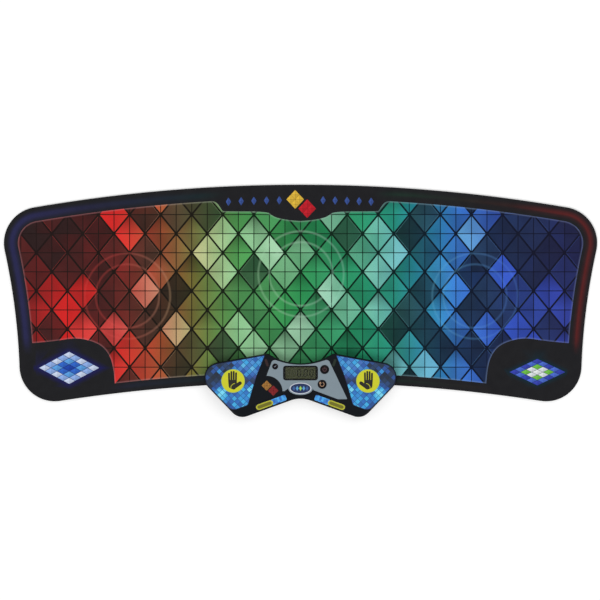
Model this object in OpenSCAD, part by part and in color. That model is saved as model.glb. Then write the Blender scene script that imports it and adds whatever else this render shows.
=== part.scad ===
// Hand-operated competition timer, snapped to the front edge of its printed play mat.
// The row frame stands on the table: X across the mat, Y away from the player, Z up,
// with the origin under the middle of the whole outline. Sizes are millimetres.

/* [Mat] */
// Width of the mat over its rear corners
mat_w = 840; // [780:1:900]
// Depth of the mat on its centre line
mat_d = 280; // [260:1:310]
// Radius of the bowed rear and front edges
mat_arc_r = 2230; // [1900:10:3000]
// Radius of the drawn-in side edges
side_arc_r = 916; // [800:1:1100]
// Height of the narrowest part of the mat below its front edge line
side_waist_drop = 11; // [0:1:20]
// Radius of the two rear corners
mat_rear_r = 51; // [35:1:60]
// Radius of the two front corners
mat_front_r = 50; // [35:1:60]
// Thickness of the foam rubber base
mat_base_t = 2.6; // [2:0.1:3.2]
// Thickness of the printed cloth bonded on top
mat_cloth_t = 0.4; // [0.3:0.05:0.6]

/* [Timer outline] */
// Lap of the timer's rear horns over the mat's front edge
timer_lap = 41.4; // [39:0.1:44]
// Half the distance between the two rear horns
horn_x = 46.5; // [45:0.5:48]
// Sharp outer corner of a wing, sideways
wing_x = 157; // [155:0.5:163]
// Sharp outer corner of a wing, forward of the horns
wing_drop = 20.25; // [18:0.25:22]
// Sharp tip of a toe, sideways
toe_x = 87.3; // [85:0.1:89]
// Sharp tip of a toe, forward of the horns
toe_drop = 93.25; // [92:0.25:97]
// Sharp corner of the front notch, forward of the horns
notch_drop = 61.55; // [61:0.05:63]
// Sharp corner of the rear hollow, forward of the horns
hollow_drop = 28.8; // [27:0.1:29.5]
// Rounding of the rear horns
horn_r = 6; // [4:0.5:7]
// Rounding of the wing ends
wing_r = 21; // [18:0.5:23]
// Rounding of the toes
toe_r = 20; // [16:0.5:22]
// Rounding of the front notch
notch_r = 40; // [34:1:44]
// Radius of the rear hollow
hollow_r = 82; // [76:1:83]

/* [Housing] */
// Height of the underside above the table, in front of the mat
ground_gap = 1.0; // [0.8:0.1:1.2]
// Gap between the mat's cloth and the housing above it
mat_gap = 0.3; // [0.2:0.05:0.5]
// Height of the parting line between the shells above the table
parting_z = 13; // [12.8:0.1:13.4]
// Height of the top face above the table
top_z = 22; // [21.8:0.1:23]
// Wall of both shells
wall = 2.0; // [1.6:0.1:2.2]
// Floor of the lower shell
floor_t = 2.4; // [2.4:0.1:2.6]
// Roof of the upper shell
roof_t = 2.0; // [1.8:0.1:2.2]
// Draft of the rear and side walls of the upper shell
side_draft = 0.8; // [0.5:0.1:1.2]
// Plan width of the sloping front face
front_slope = 13.5; // [12.5:0.1:14]
// Gap between the front edge of the mat and the step under the housing
step_gap = 1.0; // [0.5:0.1:1.5]

/* [Touch pads] */
// Rim of the housing left around a touch pad
pad_rim = 1.5; // [1.2:0.1:2.5]
// Flat rim of the housing between a pad and the front slope
pad_front_flat = 0.8; // [0.7:0.1:2]
// Distance of a pad's sharp inner tip outside the horn
pad_tip_out = 3.1; // [2.8:0.1:5]
// Sharp bend of a pad's inner edge, sideways
pad_bend_x = 62.2; // [61.6:0.1:63]
// Sharp bend of a pad's inner edge, forward of the horns
pad_bend_drop = 33.3; // [32.5:0.1:34]
// Distance of a pad's front inner corner inside the toe's sharp tip
pad_heel_in = 13.5; // [12.5:0.1:14.2]
// Radius of a pad's inner edge, where it is drawn in
pad_edge_r = 105; // [80:1:115]
// Radius of a pad's front outer corner
pad_toe_r = 12; // [9:0.5:14]
// Radius of a pad's front inner corner
pad_heel_r = 6; // [4:0.5:8]
// Thickness of a touch pad plate
pad_t = 1.6; // [1.2:0.1:2]
// Height of a touch pad above the top face
pad_proud = 0.6; // [0.2:0.1:0.9]
// Thickness of the sensor foil under each pad
foil_t = 0.3; // [0.2:0.05:0.5]
// Distance from a pad's outline to the foil's
foil_inset = 9; // [8.5:0.5:12]

/* [Face panel] */
// Distance of the panel's sharp rear corners inside the horns
panel_rear_in = 7.3; // [6.8:0.1:8.5]
// Sharp rear corners of the panel, forward of the horns
panel_rear_drop = 8.1; // [8:0.1:9]
// Distance of the panel's sharp front tip inside the pad's front corner
panel_tip_in = 7.6; // [7:0.1:9]
// Sharp front tip of the panel, forward of the horns
panel_tip_drop = 64.6; // [63:0.1:65]
// Width of the short front edge at the tip
panel_toe_w = 13.5; // [10:0.5:15]
// Thickness of the face panel
panel_t = 1.0; // [0.8:0.1:1.2]
// Height of the face panel above the top face
panel_proud = 0.2; // [0.1:0.05:0.4]
// Centre of the rounded bay cut from the panel
bay_x = 47.5; // [46:0.5:49]
// Distance of the bay's centre behind the front notch
bay_lift = 7.75; // [7:0.05:8.5]
// Radius of the bay
bay_r = 22.2; // [21:0.1:23]
// Distance of the panel's hollow corner behind the timer's own
panel_hollow_lift = 7.8; // [7.6:0.05:8]
// Radius of the panel's rear hollow
panel_hollow_r = 95; // [92:1:98]
// Half width of the oval tongue of the panel
tongue_a = 17.4; // [16:0.1:18]
// Half depth of the oval tongue
tongue_b = 9.35; // [8:0.05:9.6]
// Distance of the tongue's centre behind the front notch
tongue_lift = 12.25; // [12:0.05:13]

/* [Display] */
// Visible width of the display
view_w = 42.6; // [40:0.1:43.5]
// Visible depth of the display
view_d = 16.3; // [15:0.1:16.5]
// Black border of the window at its sides
window_border_x = 3.2; // [2.6:0.1:3.4]
// Black border of the window at its front and rear
window_border_y = 2.1; // [1.6:0.05:2.2]
// Rim between the timer's rear hollow and the window
window_margin = 3.05; // [2.95:0.05:3.4]
// Corner radius of the display window
window_r = 4; // [2:0.5:5]
// Thickness of the clear window
window_t = 0.9; // [0.7:0.1:1]
// Thickness of the black mask behind the window
mask_t = 0.2; // [0.1:0.05:0.3]
// Border of the display glass at its sides
glass_border_x = 1.7; // [1.3:0.1:1.9]
// Border of the display glass at its front and rear
glass_border_y = 0.35; // [0.3:0.05:0.4]
// Thickness of the display glass with its reflector
glass_t = 2.4; // [2:0.1:2.6]
// Width of each rubber connector strip
strip_w = 1.8; // [1.4:0.1:2.2]

/* [Buttons] */
// Distance of the power button inside the right horn
power_in = 12.5; // [12:0.1:13.2]
// Distance of the power button behind the display's middle
power_lift = 5.0; // [4.7:0.05:5.3]
// Distance of the clear button inside the right horn
clear_in = 16.0; // [15.5:0.1:16.5]
// Distance of the clear button behind the front notch
clear_lift = 18.0; // [17.5:0.05:18.6]
// Distance of the small mode button inside the left horn
mode_in = 10.7; // [10.3:0.1:11.1]
// Distance of the mode button behind the display's middle
mode_lift = 9.25; // [8.9:0.05:9.5]
// Radius of the power and clear buttons
button_r = 6.15; // [5.5:0.05:6.4]
// Radius of the mode button
mode_r = 4.0; // [3.5:0.05:4.4]
// Height of the button caps above the face panel
button_proud = 0.9; // [0.8:0.1:1.4]
// Travel of a button from rest to its stop
button_travel = 0.7; // [0.5:0.05:0.75]
// Rim of the flange that keeps a button in its hole
flange_rim = 0.85; // [0.6:0.05:1]
// Thickness of that flange
flange_t = 0.8; // [0.6:0.05:0.9]
// Running gap round a button
button_gap = 0.25; // [0.15:0.05:0.3]
// Side of a switch body
switch_w = 6; // [5.5:0.1:6.5]
// Radius of a switch plunger
plunger_r = 1.7; // [1.4:0.1:1.9]

/* [Status lights] */
// Distance of the lights outside the horns
light_out = 1.3; // [0.9:0.1:1.7]
// Centre of the lights, forward of the horns
light_drop = 13.0; // [12.7:0.1:13.6]
// Lean of the light windows from the Y axis
light_lean = 18; // [10:1:22]
// Width of a light window
light_w = 3.6; // [3:0.1:4]
// Length of a light window
light_l = 11; // [9:0.5:12]
// Radius of the light-emitting diodes
led_r = 1.5; // [1.2:0.1:1.8]

/* [Electronics] */
// Thickness of the circuit board
board_t = 1.6; // [1.2:0.1:1.6]
// Radius of the plug hole in the data socket
jack_bore_r = 1.8; // [1.75:0.05:1.9]
// Depth of the plug hole
jack_bore_l = 12.5; // [11:0.5:13]
// Radius of the socket's nose in the rear wall
jack_nose_r = 2.8; // [2.5:0.1:2.9]
// Width of the data socket
jack_w = 12; // [10:0.5:14]
// Diameter of the sensor and battery leads
lead_d = 1.2; // [0.9:0.1:1.4]

/* [Battery box] */
// Diameter of a battery cell
cell_d = 10.4; // [10:0.1:10.5]
// Length of a battery cell without its button
cell_l = 43.6; // [43:0.1:43.8]
// Gap between the two cells
cell_gap = 0.4; // [0.3:0.05:0.5]
// Length of a contact spring
spring_l = 4.7; // [4.4:0.1:5]
// Distance of the battery box's outer end outside the toe's sharp tip
box_end_out = 15.2; // [14.8:0.1:15.5]
// Distance of the battery box in front of the mat's edge
box_clear = 6.2; // [6:0.1:6.5]
// Wall of the battery box
box_wall = 1.2; // [1:0.1:1.3]
// Thickness of the battery door
door_t = 2.2; // [2:0.1:2.2]
// Gap round the battery door
door_gap = 0.25; // [0.2:0.05:0.3]
// Radius of the door's two hinge pins
door_pin_r = 0.6; // [0.5:0.05:0.65]
// Length of each hinge pin
door_pin_l = 1.6; // [1.2:0.1:1.8]

/* [Fasteners and feet] */
// Radius of a housing screw's shank
screw_r = 1.3; // [1.1:0.1:1.4]
// Radius of a housing screw's head
head_r = 2.5; // [2.2:0.1:2.6]
// Height of a housing screw's head
head_t = 1.6; // [1.2:0.1:1.8]
// Radius of the rubber feet
foot_r = 4.5; // [4:0.1:4.8]
// Radius of the mat's snap studs
stud_r = 3.5; // [3:0.1:3.8]
// Radius of the studs' flange under the mat
stud_flange_r = 7; // [6:0.5:8]
// Distance of the snap studs from the centre line
stud_x = 62; // [60:0.5:64]
// Distance of the snap studs forward of the horns
stud_drop = 26; // [24:0.5:28]
// Thickness of the front labels
label_t = 0.3; // [0.2:0.05:0.4]
// Length of the front labels
label_l = 46; // [43:0.5:47]
// Width of the front labels
label_w = 11; // [9:0.5:11.5]
// Distance of a front label's middle inside the middle of its slope
label_in = 4.6; // [3:0.1:5]

/* [Hidden] */
$fn = 64;
eps = 0.01;
// Clearance between pieces that are seated side by side
fit = 0.15;
// Clearance of a screw or pin in its hole
pin_fit = 0.1;
corner_steps = 12;
arc_steps = 40;

// --- Plane geometry -------------------------------------------------------------

function polar(c, r, a) = [c[0] + r * cos(a), c[1] + r * sin(a)];
function arc(c, r, a0, a1, n) = [for (i = [0:n]) polar(c, r, a0 + (a1 - a0) * i / n)];
function angle_to(c, p) = atan2(p[1] - c[1], p[0] - c[0]);
function flip(points) = [for (i = [len(points) - 1:-1:0]) [-points[i][0], each [for (k = [1:len(points[i]) - 1]) points[i][k]]]];
function xy(p) = [p[0], p[1]];
function unit(v) = v / norm(v);

// Where the circles round c1 and c2 meet, on the left of the way from c1 to c2 if side is 1
function meet(c1, r1, c2, r2, side) =
    let (d = norm(c2 - c1), a = (r1 * r1 - r2 * r2 + d * d) / (2 * d), u = (c2 - c1) / d)
    c1 + a * u + side * sqrt(r1 * r1 - a * a) * [-u[1], u[0]];

// Where the line through p along u meets the line through q along v
function cross_at(p, u, q, v) = p + u * ((q - p)[0] * v[1] - (q - p)[1] * v[0]) / (u[0] * v[1] - u[1] * v[0]);

// Centre of the arc of radius r in the corner at p1
function fillet_centre(p0, p1, p2, r) =
    let (u = unit(p0 - p1), v = unit(p2 - p1))
    p1 + unit(u + v) * r / sin(acos(u * v) / 2);

function fillet(p0, p1, p2, r, n) =
    let (
        u = unit(p0 - p1), v = unit(p2 - p1), c = fillet_centre(p0, p1, p2, r),
        t = r / tan(acos(u * v) / 2),
        a0 = angle_to(c, p1 + u * t), a1 = angle_to(c, p1 + v * t)
    )
    arc(c, r, a0, a0 + (a1 - a0 + 540) % 360 - 180, n);

// A polygon's corners, each [x, y, radius], as a rounded outline with n steps a corner
function rounded(corners, n = corner_steps) = [
    for (i = [0:len(corners) - 1])
        let (
            k = len(corners), p0 = corners[(i + k - 1) % k], p1 = corners[i],
            p2 = corners[(i + 1) % k]
        )
        each fillet(xy(p0), xy(p1), xy(p2), p1[2], p1[2] < 2 ? min(n, 3) : n)
];

// The corners moved in by one distance for each edge; edge i leaves corner i.
// Corners that turn right are hollow, so their radius grows instead.
function inset(corners, by) = [
    for (i = [0:len(corners) - 1])
        let (
            k = len(corners), p0 = xy(corners[(i + k - 1) % k]), p1 = xy(corners[i]),
            p2 = xy(corners[(i + 1) % k]), u = unit(p1 - p0), v = unit(p2 - p1),
            d0 = by[(i + k - 1) % k], d1 = by[i],
            at = cross_at(p1 + d0 * [-u[1], u[0]], u, p1 + d1 * [-v[1], v[0]], v),
            turn = u[0] * v[1] - u[1] * v[0], d = min(d0, d1)
        )
        [at[0], at[1], turn > 0 ? max(corners[i][2] - d, 0.6) : corners[i][2] + d]
];

// The points without those that lie on the point before them
function tidy(points) = [
    for (i = [0:len(points) - 1])
        if (norm(points[i] - points[(i + len(points) - 1) % len(points)]) > 0.01) points[i]
];

function same(d) = [for (i = [0:7]) d];

module slab(points, z0, z1) {
    translate([0, 0, z0]) linear_extrude(height = z1 - z0) polygon(points);
}

// A closed skin between a lower and an upper outline with equally many points.
// Each end is a fan round a point from which the whole outline can be seen.
module loft(low, z0, high, z1, middle) {
    n = len(low);
    polyhedron(
        points = [
            for (p = low) [p[0], p[1], z0],
            for (p = high) [p[0], p[1], z1],
            [middle[0], middle[1], z0],
            [middle[0], middle[1], z1]
        ],
        faces = [
            for (i = [0:n - 1]) [i, (i + 1) % n, 2 * n],
            for (i = [0:n - 1]) [n + (i + 1) % n, n + i, 2 * n + 1],
            for (i = [0:n - 1]) [i, n + i, n + (i + 1) % n, (i + 1) % n]
        ]
    );
}

// The same skin for the timer's shell, run on past the upper outline and cut flat there
module drafted(low, z0, high, z1) {
    past = 1.15;
    over = [for (i = [0:len(low) - 1]) low[i] + (high[i] - low[i]) * past];
    difference() {
        loft(low, z0, over, z0 + (z1 - z0) * past, [0, -(notch_drop + hollow_drop) / 2]);
        translate([-wing_x, -2 * toe_drop, z1]) cube([2 * wing_x, 3 * toe_drop, z1 - z0]);
    }
}

module round_bar(r, z0, z1) {
    translate([0, 0, z0]) cylinder(r = r, h = z1 - z0);
}

module block(w, d, z0, z1) {
    translate([-w / 2, -d / 2, z0]) cube([w, d, z1 - z0]);
}

function box_outline(w, d, r) = rounded([[w / 2, -d / 2, r], [w / 2, d / 2, r], [-w / 2, d / 2, r], [-w / 2, -d / 2, r]]);
function pill_outline(w, l) = concat(
    arc([0, (l - w) / 2], w / 2, 0, 180, 16), arc([0, -(l - w) / 2], w / 2, 180, 360, 16)
);

// A round tube along points, with rings square to the way it runs
function tangent(path, i) = unit(path[min(i + 1, len(path) - 1)] - path[max(i - 1, 0)]);
function side_of(t) = unit(cross(abs(t[2]) < 0.9 ? [0, 0, 1] : [1, 0, 0], t));
function ring(path, i, r, n) =
    let (t = tangent(path, i), u = side_of(t), v = cross(t, u))
    [for (k = [0:n - 1]) path[i] + r * cos(360 * k / n) * u + r * sin(360 * k / n) * v];

module tube(path, d, n = 8) {
    rings = len(path);
    polyhedron(
        points = [for (i = [0:rings - 1]) each ring(path, i, d / 2, n)],
        faces = [
            [for (k = [n - 1:-1:0]) k],
            [for (k = [0:n - 1]) (rings - 1) * n + k],
            for (i = [0:rings - 2], k = [0:n - 1])
                [i * n + k, i * n + (k + 1) % n, (i + 1) * n + (k + 1) % n, (i + 1) * n + k]
        ]
    );
}

// A smooth path through a square bend of control points
function bezier(p, t) =
    pow(1 - t, 3) * p[0] + 3 * pow(1 - t, 2) * t * p[1] + 3 * (1 - t) * t * t * p[2] + pow(t, 3) * p[3];
// The same path with a short straight run at each end, so that its end faces lie square
function smooth_path(p, n = 12, run = 0.6) =
    let (q = [p[0] + run * unit(p[1] - p[0]), p[1], p[2], p[3] + run * unit(p[2] - p[3])])
    concat([p[0]], [for (i = [0:n]) bezier(q, i / n)], [p[3]]);

// --- Layout of the mat ----------------------------------------------------------

outline = [
    [0, -notch_drop, notch_r], [toe_x, -toe_drop, toe_r],
    [wing_x, -wing_drop, wing_r], [horn_x, 0, horn_r],
    [0, -hollow_drop, hollow_r], [-horn_x, 0, horn_r],
    [-wing_x, -wing_drop, wing_r], [-toe_x, -toe_drop, toe_r]
];
toe_centre = fillet_centre(xy(outline[0]), xy(outline[1]), xy(outline[2]), toe_r);
timer_reach = toe_r - toe_centre[1];
whole_d = mat_d + timer_reach - timer_lap;
mat_rear_y = whole_d / 2;
mat_front_y = mat_rear_y - mat_d;
timer_y = mat_front_y + timer_lap;
mat_t = mat_base_t + mat_cloth_t;

rear_c = [0, mat_rear_y - mat_arc_r];
front_c = [0, mat_front_y - mat_arc_r];
rear_corner = [
    mat_w / 2 - mat_rear_r,
    rear_c[1] + sqrt(pow(mat_arc_r - mat_rear_r, 2) - pow(mat_w / 2 - mat_rear_r, 2))
];
side_y = mat_front_y - side_waist_drop;
side_c = [
    rear_corner[0] + sqrt(pow(side_arc_r + mat_rear_r, 2) - pow(rear_corner[1] - side_y, 2)),
    side_y
];
front_corner = meet(front_c, mat_arc_r + mat_front_r, side_c, side_arc_r + mat_front_r, 1);

// Right half of the mat's outline, from the middle of the front to the middle of the rear
mat_half = concat(
    arc(front_c, mat_arc_r, 90, angle_to(front_c, front_corner), arc_steps),
    arc(front_corner, mat_front_r, angle_to(front_corner, front_c), angle_to(front_corner, side_c), corner_steps),
    arc(side_c, side_arc_r, (angle_to(side_c, front_corner) + 360) % 360, angle_to(side_c, rear_corner), 16),
    arc(rear_corner, mat_rear_r, angle_to(rear_corner, side_c), 0, 4),
    arc(rear_corner, mat_rear_r, 0, angle_to(rear_c, rear_corner), corner_steps),
    arc(rear_c, mat_arc_r, angle_to(rear_c, rear_corner), 90, arc_steps)
);
mat_outline = tidy(concat(mat_half, flip(mat_half)));

// --- Layout of the timer, in its own frame with Y 0 between the horns ------------

rear_z = mat_t + mat_gap;
rear_floor_z = rear_z + wall;
front_floor_z = ground_gap + floor_t;
roof_z = top_z - roof_t;
step_r = mat_arc_r - step_gap;
step_c = [0, front_c[1] - timer_y];
slope_rise = top_z - parting_z;
// Plan width of the slope's wall, so that it is as thick as the roof
slope_wall = roof_t * 1.2 * front_slope / slope_rise;

// Inset of each edge: the two front edges slope, the others have draft
function skin(front, side) = [front, side, side, side, side, side, side, front];
top_outline = inset(outline, skin(front_slope, side_draft));
roof_share = (roof_z - parting_z) / slope_rise;
cavity_low = inset(outline, skin(slope_wall, wall + side_draft));
cavity_high = inset(outline, skin(slope_wall + front_slope * roof_share, wall + side_draft));

front_u = unit(xy(outline[0]) - xy(outline[7]));
front_n = [-front_u[1], front_u[0]];
pad_front_rim = front_slope + pad_front_flat;
pad_heel_x = toe_x - pad_heel_in;
pad_tip_r = 1.2;
pad_lines = inset(outline, skin(pad_front_rim, pad_rim));
heel = cross_at(xy(pad_lines[7]), front_u, [-pad_heel_x, 0], [0, 1]);
tip = cross_at(
    xy(pad_lines[5]), unit(xy(pad_lines[6]) - xy(pad_lines[5])), [-horn_x - pad_tip_out, 0], [0, 1]
);
left_pad = [
    [tip[0], tip[1], pad_tip_r],
    [pad_lines[6][0], pad_lines[6][1], wing_r - pad_rim],
    [pad_lines[7][0], pad_lines[7][1], pad_toe_r],
    [heel[0], heel[1], pad_heel_r],
    [-pad_bend_x, -pad_bend_drop, pad_edge_r]
];

// Plain numbers in the panel are the small radii that a cutter leaves in its corners
panel_rear_x = horn_x - panel_rear_in;
panel_tip_x = pad_heel_x - panel_tip_in;
panel_hollow_drop = hollow_drop - panel_hollow_lift;
bay_drop = notch_drop - bay_lift;
tongue_drop = notch_drop - tongue_lift;
panel_front_y = cross_at(xy(inset(outline, skin(pad_front_rim + 1.2, pad_rim))[7]), front_u, [0, 0], [0, 1])[1];
panel = [
    [-tongue_a - 5, panel_front_y + (-tongue_a - 5) * front_u[1] / front_u[0], 1],
    [-tongue_a, -tongue_drop, 1],
    [tongue_a, -tongue_drop, 1],
    [tongue_a + 1, panel_front_y - (tongue_a + 1) * front_u[1] / front_u[0], 1],
    [panel_tip_x - panel_toe_w, -panel_tip_drop, 3],
    [panel_tip_x, -panel_tip_drop, 1],
    [panel_rear_x, -panel_rear_drop, 5],
    [0, -panel_hollow_drop, panel_hollow_r],
    [-panel_rear_x, -panel_rear_drop, 5],
    [-bay_x - 8.8, -bay_drop, 1]
];

// Middle of the timer's rear hollow, and what is placed from it
hollow_y = fillet_centre(xy(outline[3]), xy(outline[4]), xy(outline[5]), hollow_r)[1] - hollow_r;
window_w = view_w + 2 * window_border_x;
window_d = view_d + 2 * window_border_y;
glass_w = view_w + 2 * glass_border_x;
glass_d = view_d + 2 * glass_border_y;
window_drop = window_margin + window_d / 2 - hollow_y;
power_at = [horn_x - power_in, window_drop - power_lift];
clear_at = [horn_x - clear_in, notch_drop - clear_lift];
mode_at = [mode_in - horn_x, window_drop - mode_lift];
light_at = [horn_x + light_out, light_drop];

// The board lies level with the parting line
board_z = parting_z;
board_rear = hollow_y - wall - 1.7;
board_front = 11.55 - notch_drop;
board_ear = horn_x - 0.5;
board_side = horn_x + 6.5;
board_half = [
    [16, board_front + 3.5], [30, board_front], [43, board_front], [board_side, -36],
    [board_side, -8], [board_ear, -8], [24, board_rear]
];
board_outline = concat(board_half, flip(board_half));
board_top = board_z + board_t;
pad_seat_z = top_z + pad_proud - pad_t;
panel_z = top_z + panel_proud - panel_t;
panel_top = panel_z + panel_t;
flange_z = roof_z - pin_fit - flange_t;
switch_top = flange_z - button_travel - pin_fit;
cap_top = panel_top + button_proud;

// Housing screws: wing ends, behind the pads, toes, beside the notch
screw_places = [
    [wing_x - 28.4, -34], [horn_x + 17.5, -8.8], [toe_x - 3.3, 17.25 - toe_drop], [26, 6.55 - notch_drop]
];
board_screw_places = [[horn_x + 1.5, -32], [14, board_front + 7]];
foot_places = [[toe_x - 19.3, 16.75 - toe_drop], [wing_x - 41, -51.5], [33, -0.95 - notch_drop]];
function both_sides(places) = [for (p = places, s = [-1, 1]) [s * p[0], p[1]]];
screw_spots = both_sides(screw_places);
board_screw_spots = both_sides(board_screw_places);
foot_spots = both_sides(foot_places);
screw_tip_z = roof_z - 2;
board_screw_tip_z = roof_z - 1.4;
boss_r = 3;
board_boss_r = 2.4;
foot_seat = 0.6;

// Battery box: cells lie across the left toe
cell_z = front_floor_z + fit + cell_d / 2;
plate_t = 0.4;
nub_l = 0.8;
cell_pitch = cell_d + cell_gap;
box_l = 2 * plate_t + spring_l + cell_l + nub_l + pin_fit;
box_x0 = -toe_x - box_end_out;
box_x1 = box_x0 + box_l;
box_y1 = -timer_lap - box_clear;
box_y0 = box_y1 - cell_pitch - cell_d - 0.2;
box_top = cell_z + cell_d / 2 + fit;
cell_ys = [box_y1 - 0.1 - cell_d / 2, box_y1 - 0.1 - cell_d / 2 - cell_pitch];
door_axis = [box_y1 - door_gap - door_t / 2, ground_gap + door_t / 2];

// --- Mat -------------------------------------------------------------------------

module stud_holes(r, z0, z1) {
    for (s = [-1, 1]) translate([s * stud_x, timer_y - stud_drop, 0]) round_bar(r, z0, z1);
}

stud_flange_t = 0.9;

module mat_base() {
    color([0.07, 0.07, 0.08]) difference() {
        slab(mat_outline, 0, mat_base_t);
        stud_holes(stud_r + fit, -1, mat_base_t + 1);
        stud_holes(stud_flange_r + fit, -1, stud_flange_t + pin_fit);
    }
}

module mat_cloth() {
    color([0.1, 0.45, 0.25]) difference() {
        slab(mat_outline, mat_base_t, mat_t);
        stud_holes(stud_r + fit, 0, mat_t + 1);
    }
}

stud_top = rear_z + 5.2;

module mat_snap_studs() {
    color([0.12, 0.12, 0.13]) for (s = [-1, 1]) translate([s * stud_x, timer_y - stud_drop, 0]) {
        round_bar(stud_flange_r, pin_fit, stud_flange_t);
        difference() {
            round_bar(stud_r, pin_fit, stud_top);
            // Waist that the snap lip springs into, and a saw cut so that the head can close
            translate([0, 0, rear_z + 0.6]) rotate_extrude() translate([stud_r + 0.1, 0.9]) circle(r = 0.6);
            translate([0, 0, rear_z + 4]) block(0.8, 2 * stud_r + 1, -2.6, 3);
        }
    }
}

// --- Lower shell -----------------------------------------------------------------

module in_front_of_mat(grow, z0, z1) {
    translate([0, step_c[1], z0]) cylinder(r = step_r + grow, h = z1 - z0, $fn = 1440);
}

module lower_shell_body() {
    slab(rounded(outline), rear_z, parting_z);
    intersection() {
        slab(rounded(outline), ground_gap, rear_floor_z);
        in_front_of_mat(0, 0, rear_floor_z + 1);
    }
}

module lower_shell_cavity() {
    hollow = rounded(inset(outline, same(wall)));
    slab(hollow, rear_floor_z, parting_z + 1);
    intersection() {
        slab(hollow, front_floor_z, rear_floor_z + 1);
        in_front_of_mat(-wall, 0, rear_floor_z + 2);
    }
}

module battery_walls() {
    w = box_wall;
    translate([box_x0 - w, box_y0 - w, front_floor_z - eps])
        cube([box_l + 2 * w, box_y1 - box_y0 + 2 * w, box_top + w - front_floor_z]);
}

module battery_space() {
    translate([box_x0, box_y0, 0]) cube([box_l, box_y1 - box_y0, box_top]);
}

module socket_notch() {
    translate([0, -hollow_drop, socket_z]) rotate([-90, 0, 0])
        cylinder(r = jack_nose_r + pin_fit, h = hollow_drop);
    translate([-jack_nose_r - pin_fit, -hollow_drop, socket_z])
        cube([2 * (jack_nose_r + pin_fit), hollow_drop, parting_z]);
}

module lower_housing() {
    color([0.06, 0.06, 0.07]) translate([0, timer_y, 0]) difference() {
        union() {
            difference() {
                lower_shell_body();
                lower_shell_cavity();
            }
            for (p = screw_spots) translate([p[0], p[1], 0]) round_bar(boss_r + 0.6, rear_z, parting_z);
            for (s = [-1, 1]) translate([s * stud_x, -stud_drop, 0]) round_bar(stud_r + 2, rear_z, stud_top + 1.5);
            battery_walls();
        }
        battery_space();
        for (p = screw_spots) translate([p[0], p[1], 0]) {
            round_bar(screw_r + pin_fit, 0, parting_z + 1);
            round_bar(head_r + pin_fit, 0, rear_z + head_t + fit);
        }
        for (p = foot_spots) translate([p[0], p[1], 0]) round_bar(foot_r + fit, 0, ground_gap + foot_seat);
        for (s = [-1, 1]) translate([s * stud_x, -stud_drop, 0]) round_bar(stud_r + pin_fit, 0, stud_top + 0.3);
        socket_notch();
        // Bearings of the battery door's pins, and the finger notch at its free edge
        translate([box_x0 - door_pin_l - pin_fit, door_axis[0], door_axis[1]]) rotate([0, 90, 0])
            cylinder(r = door_pin_r + pin_fit, h = box_l + 2 * (door_pin_l + pin_fit));
        translate([(box_x0 + box_x1) / 2, box_y0 + 1, 0]) round_bar(6, 0, ground_gap + 1.2);
    }
}

// --- Upper shell -----------------------------------------------------------------

module shell_skin() {
    drafted(rounded(outline), parting_z, rounded(top_outline), top_z);
}

// Oval plinth that carries the panel's tongue out over the front slope
tongue_outline = [for (i = [0:47]) [tongue_a * cos(7.5 * i), tongue_b * sin(7.5 * i) - tongue_drop]];
plinth_outline = [for (i = [0:47]) [(tongue_a + 1) * cos(7.5 * i), (tongue_b + 1) * sin(7.5 * i) - tongue_drop]];

module roof_bosses(spots, r, z0) {
    for (p = spots) translate([p[0], p[1], 0]) round_bar(r, z0, roof_z + 0.5);
}

module at_spot(p) { translate([p[0], -p[1], 0]) children(); }
module lights(p = light_at) {
    for (s = [-1, 1]) translate([s * p[0], -p[1], 0]) rotate([0, 0, -s * light_lean]) children();
}

module upper_housing() {
    color([0.06, 0.06, 0.07]) translate([0, timer_y, 0]) difference() {
        union() {
            difference() {
                union() {
                    shell_skin();
                    slab(plinth_outline, parting_z + 2, top_z - 0.05);
                }
                drafted(rounded(cavity_low), parting_z - eps, rounded(cavity_high), roof_z);
            }
            roof_bosses(screw_spots, boss_r, parting_z);
            roof_bosses(board_screw_spots, board_boss_r, board_top);
        }
        for (p = screw_spots) translate([p[0], p[1], 0]) round_bar(screw_r + 0.05, parting_z - 1, screw_tip_z + 0.2);
        for (p = board_screw_spots) translate([p[0], p[1], 0]) round_bar(1.05, board_top - 1, board_screw_tip_z + 0.2);
        // Seats of the pads and the panel
        for (pad = [left_pad, flip(left_pad)]) slab(rounded(inset(pad, same(-fit))), pad_seat_z, top_z + 1);
        difference() {
            union() {
                slab(rounded(inset_panel(-fit)), panel_z, top_z + 1);
                slab([for (p = tongue_outline) [p[0] * (1 + fit / tongue_a), (p[1] + tongue_drop) * (1 + fit / tongue_b) - tongue_drop]], panel_z, top_z + 1);
            }
            translate([-bay_x, -bay_drop, 0]) round_bar(bay_r - fit, 0, top_z + 2);
        }
        // Display opening, button holes and light slots
        translate([0, -window_drop, 0]) block(view_w + 1, view_d + 1, parting_z, top_z + 1);
        at_spot(power_at) round_bar(button_r + button_gap, parting_z, top_z + 1);
        at_spot(clear_at) round_bar(button_r + button_gap, parting_z, top_z + 1);
        at_spot(mode_at) round_bar(mode_r + button_gap, parting_z, top_z + 1);
        lights() slab(pill_outline(light_w + 2 * pin_fit, light_l + 2 * pin_fit), parting_z, top_z + 1);
        // Roof of the battery box and the socket's nose
        translate([box_x0 - box_wall - fit, box_y0 - box_wall - fit, 0])
            cube([box_l + 2 * (box_wall + fit), box_y1 - box_y0 + 2 * (box_wall + fit), box_top + box_wall + fit]);
    }
}

// --- Touch pads and their sensors --------------------------------------------------

module touch_pad(outline_points) {
    color([0.12, 0.32, 0.75]) translate([0, timer_y, 0])
        slab(rounded(outline_points), pad_seat_z, top_z + pad_proud);
}

module left_touch_pad() { touch_pad(left_pad); }
module right_touch_pad() { touch_pad(flip(left_pad)); }

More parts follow.
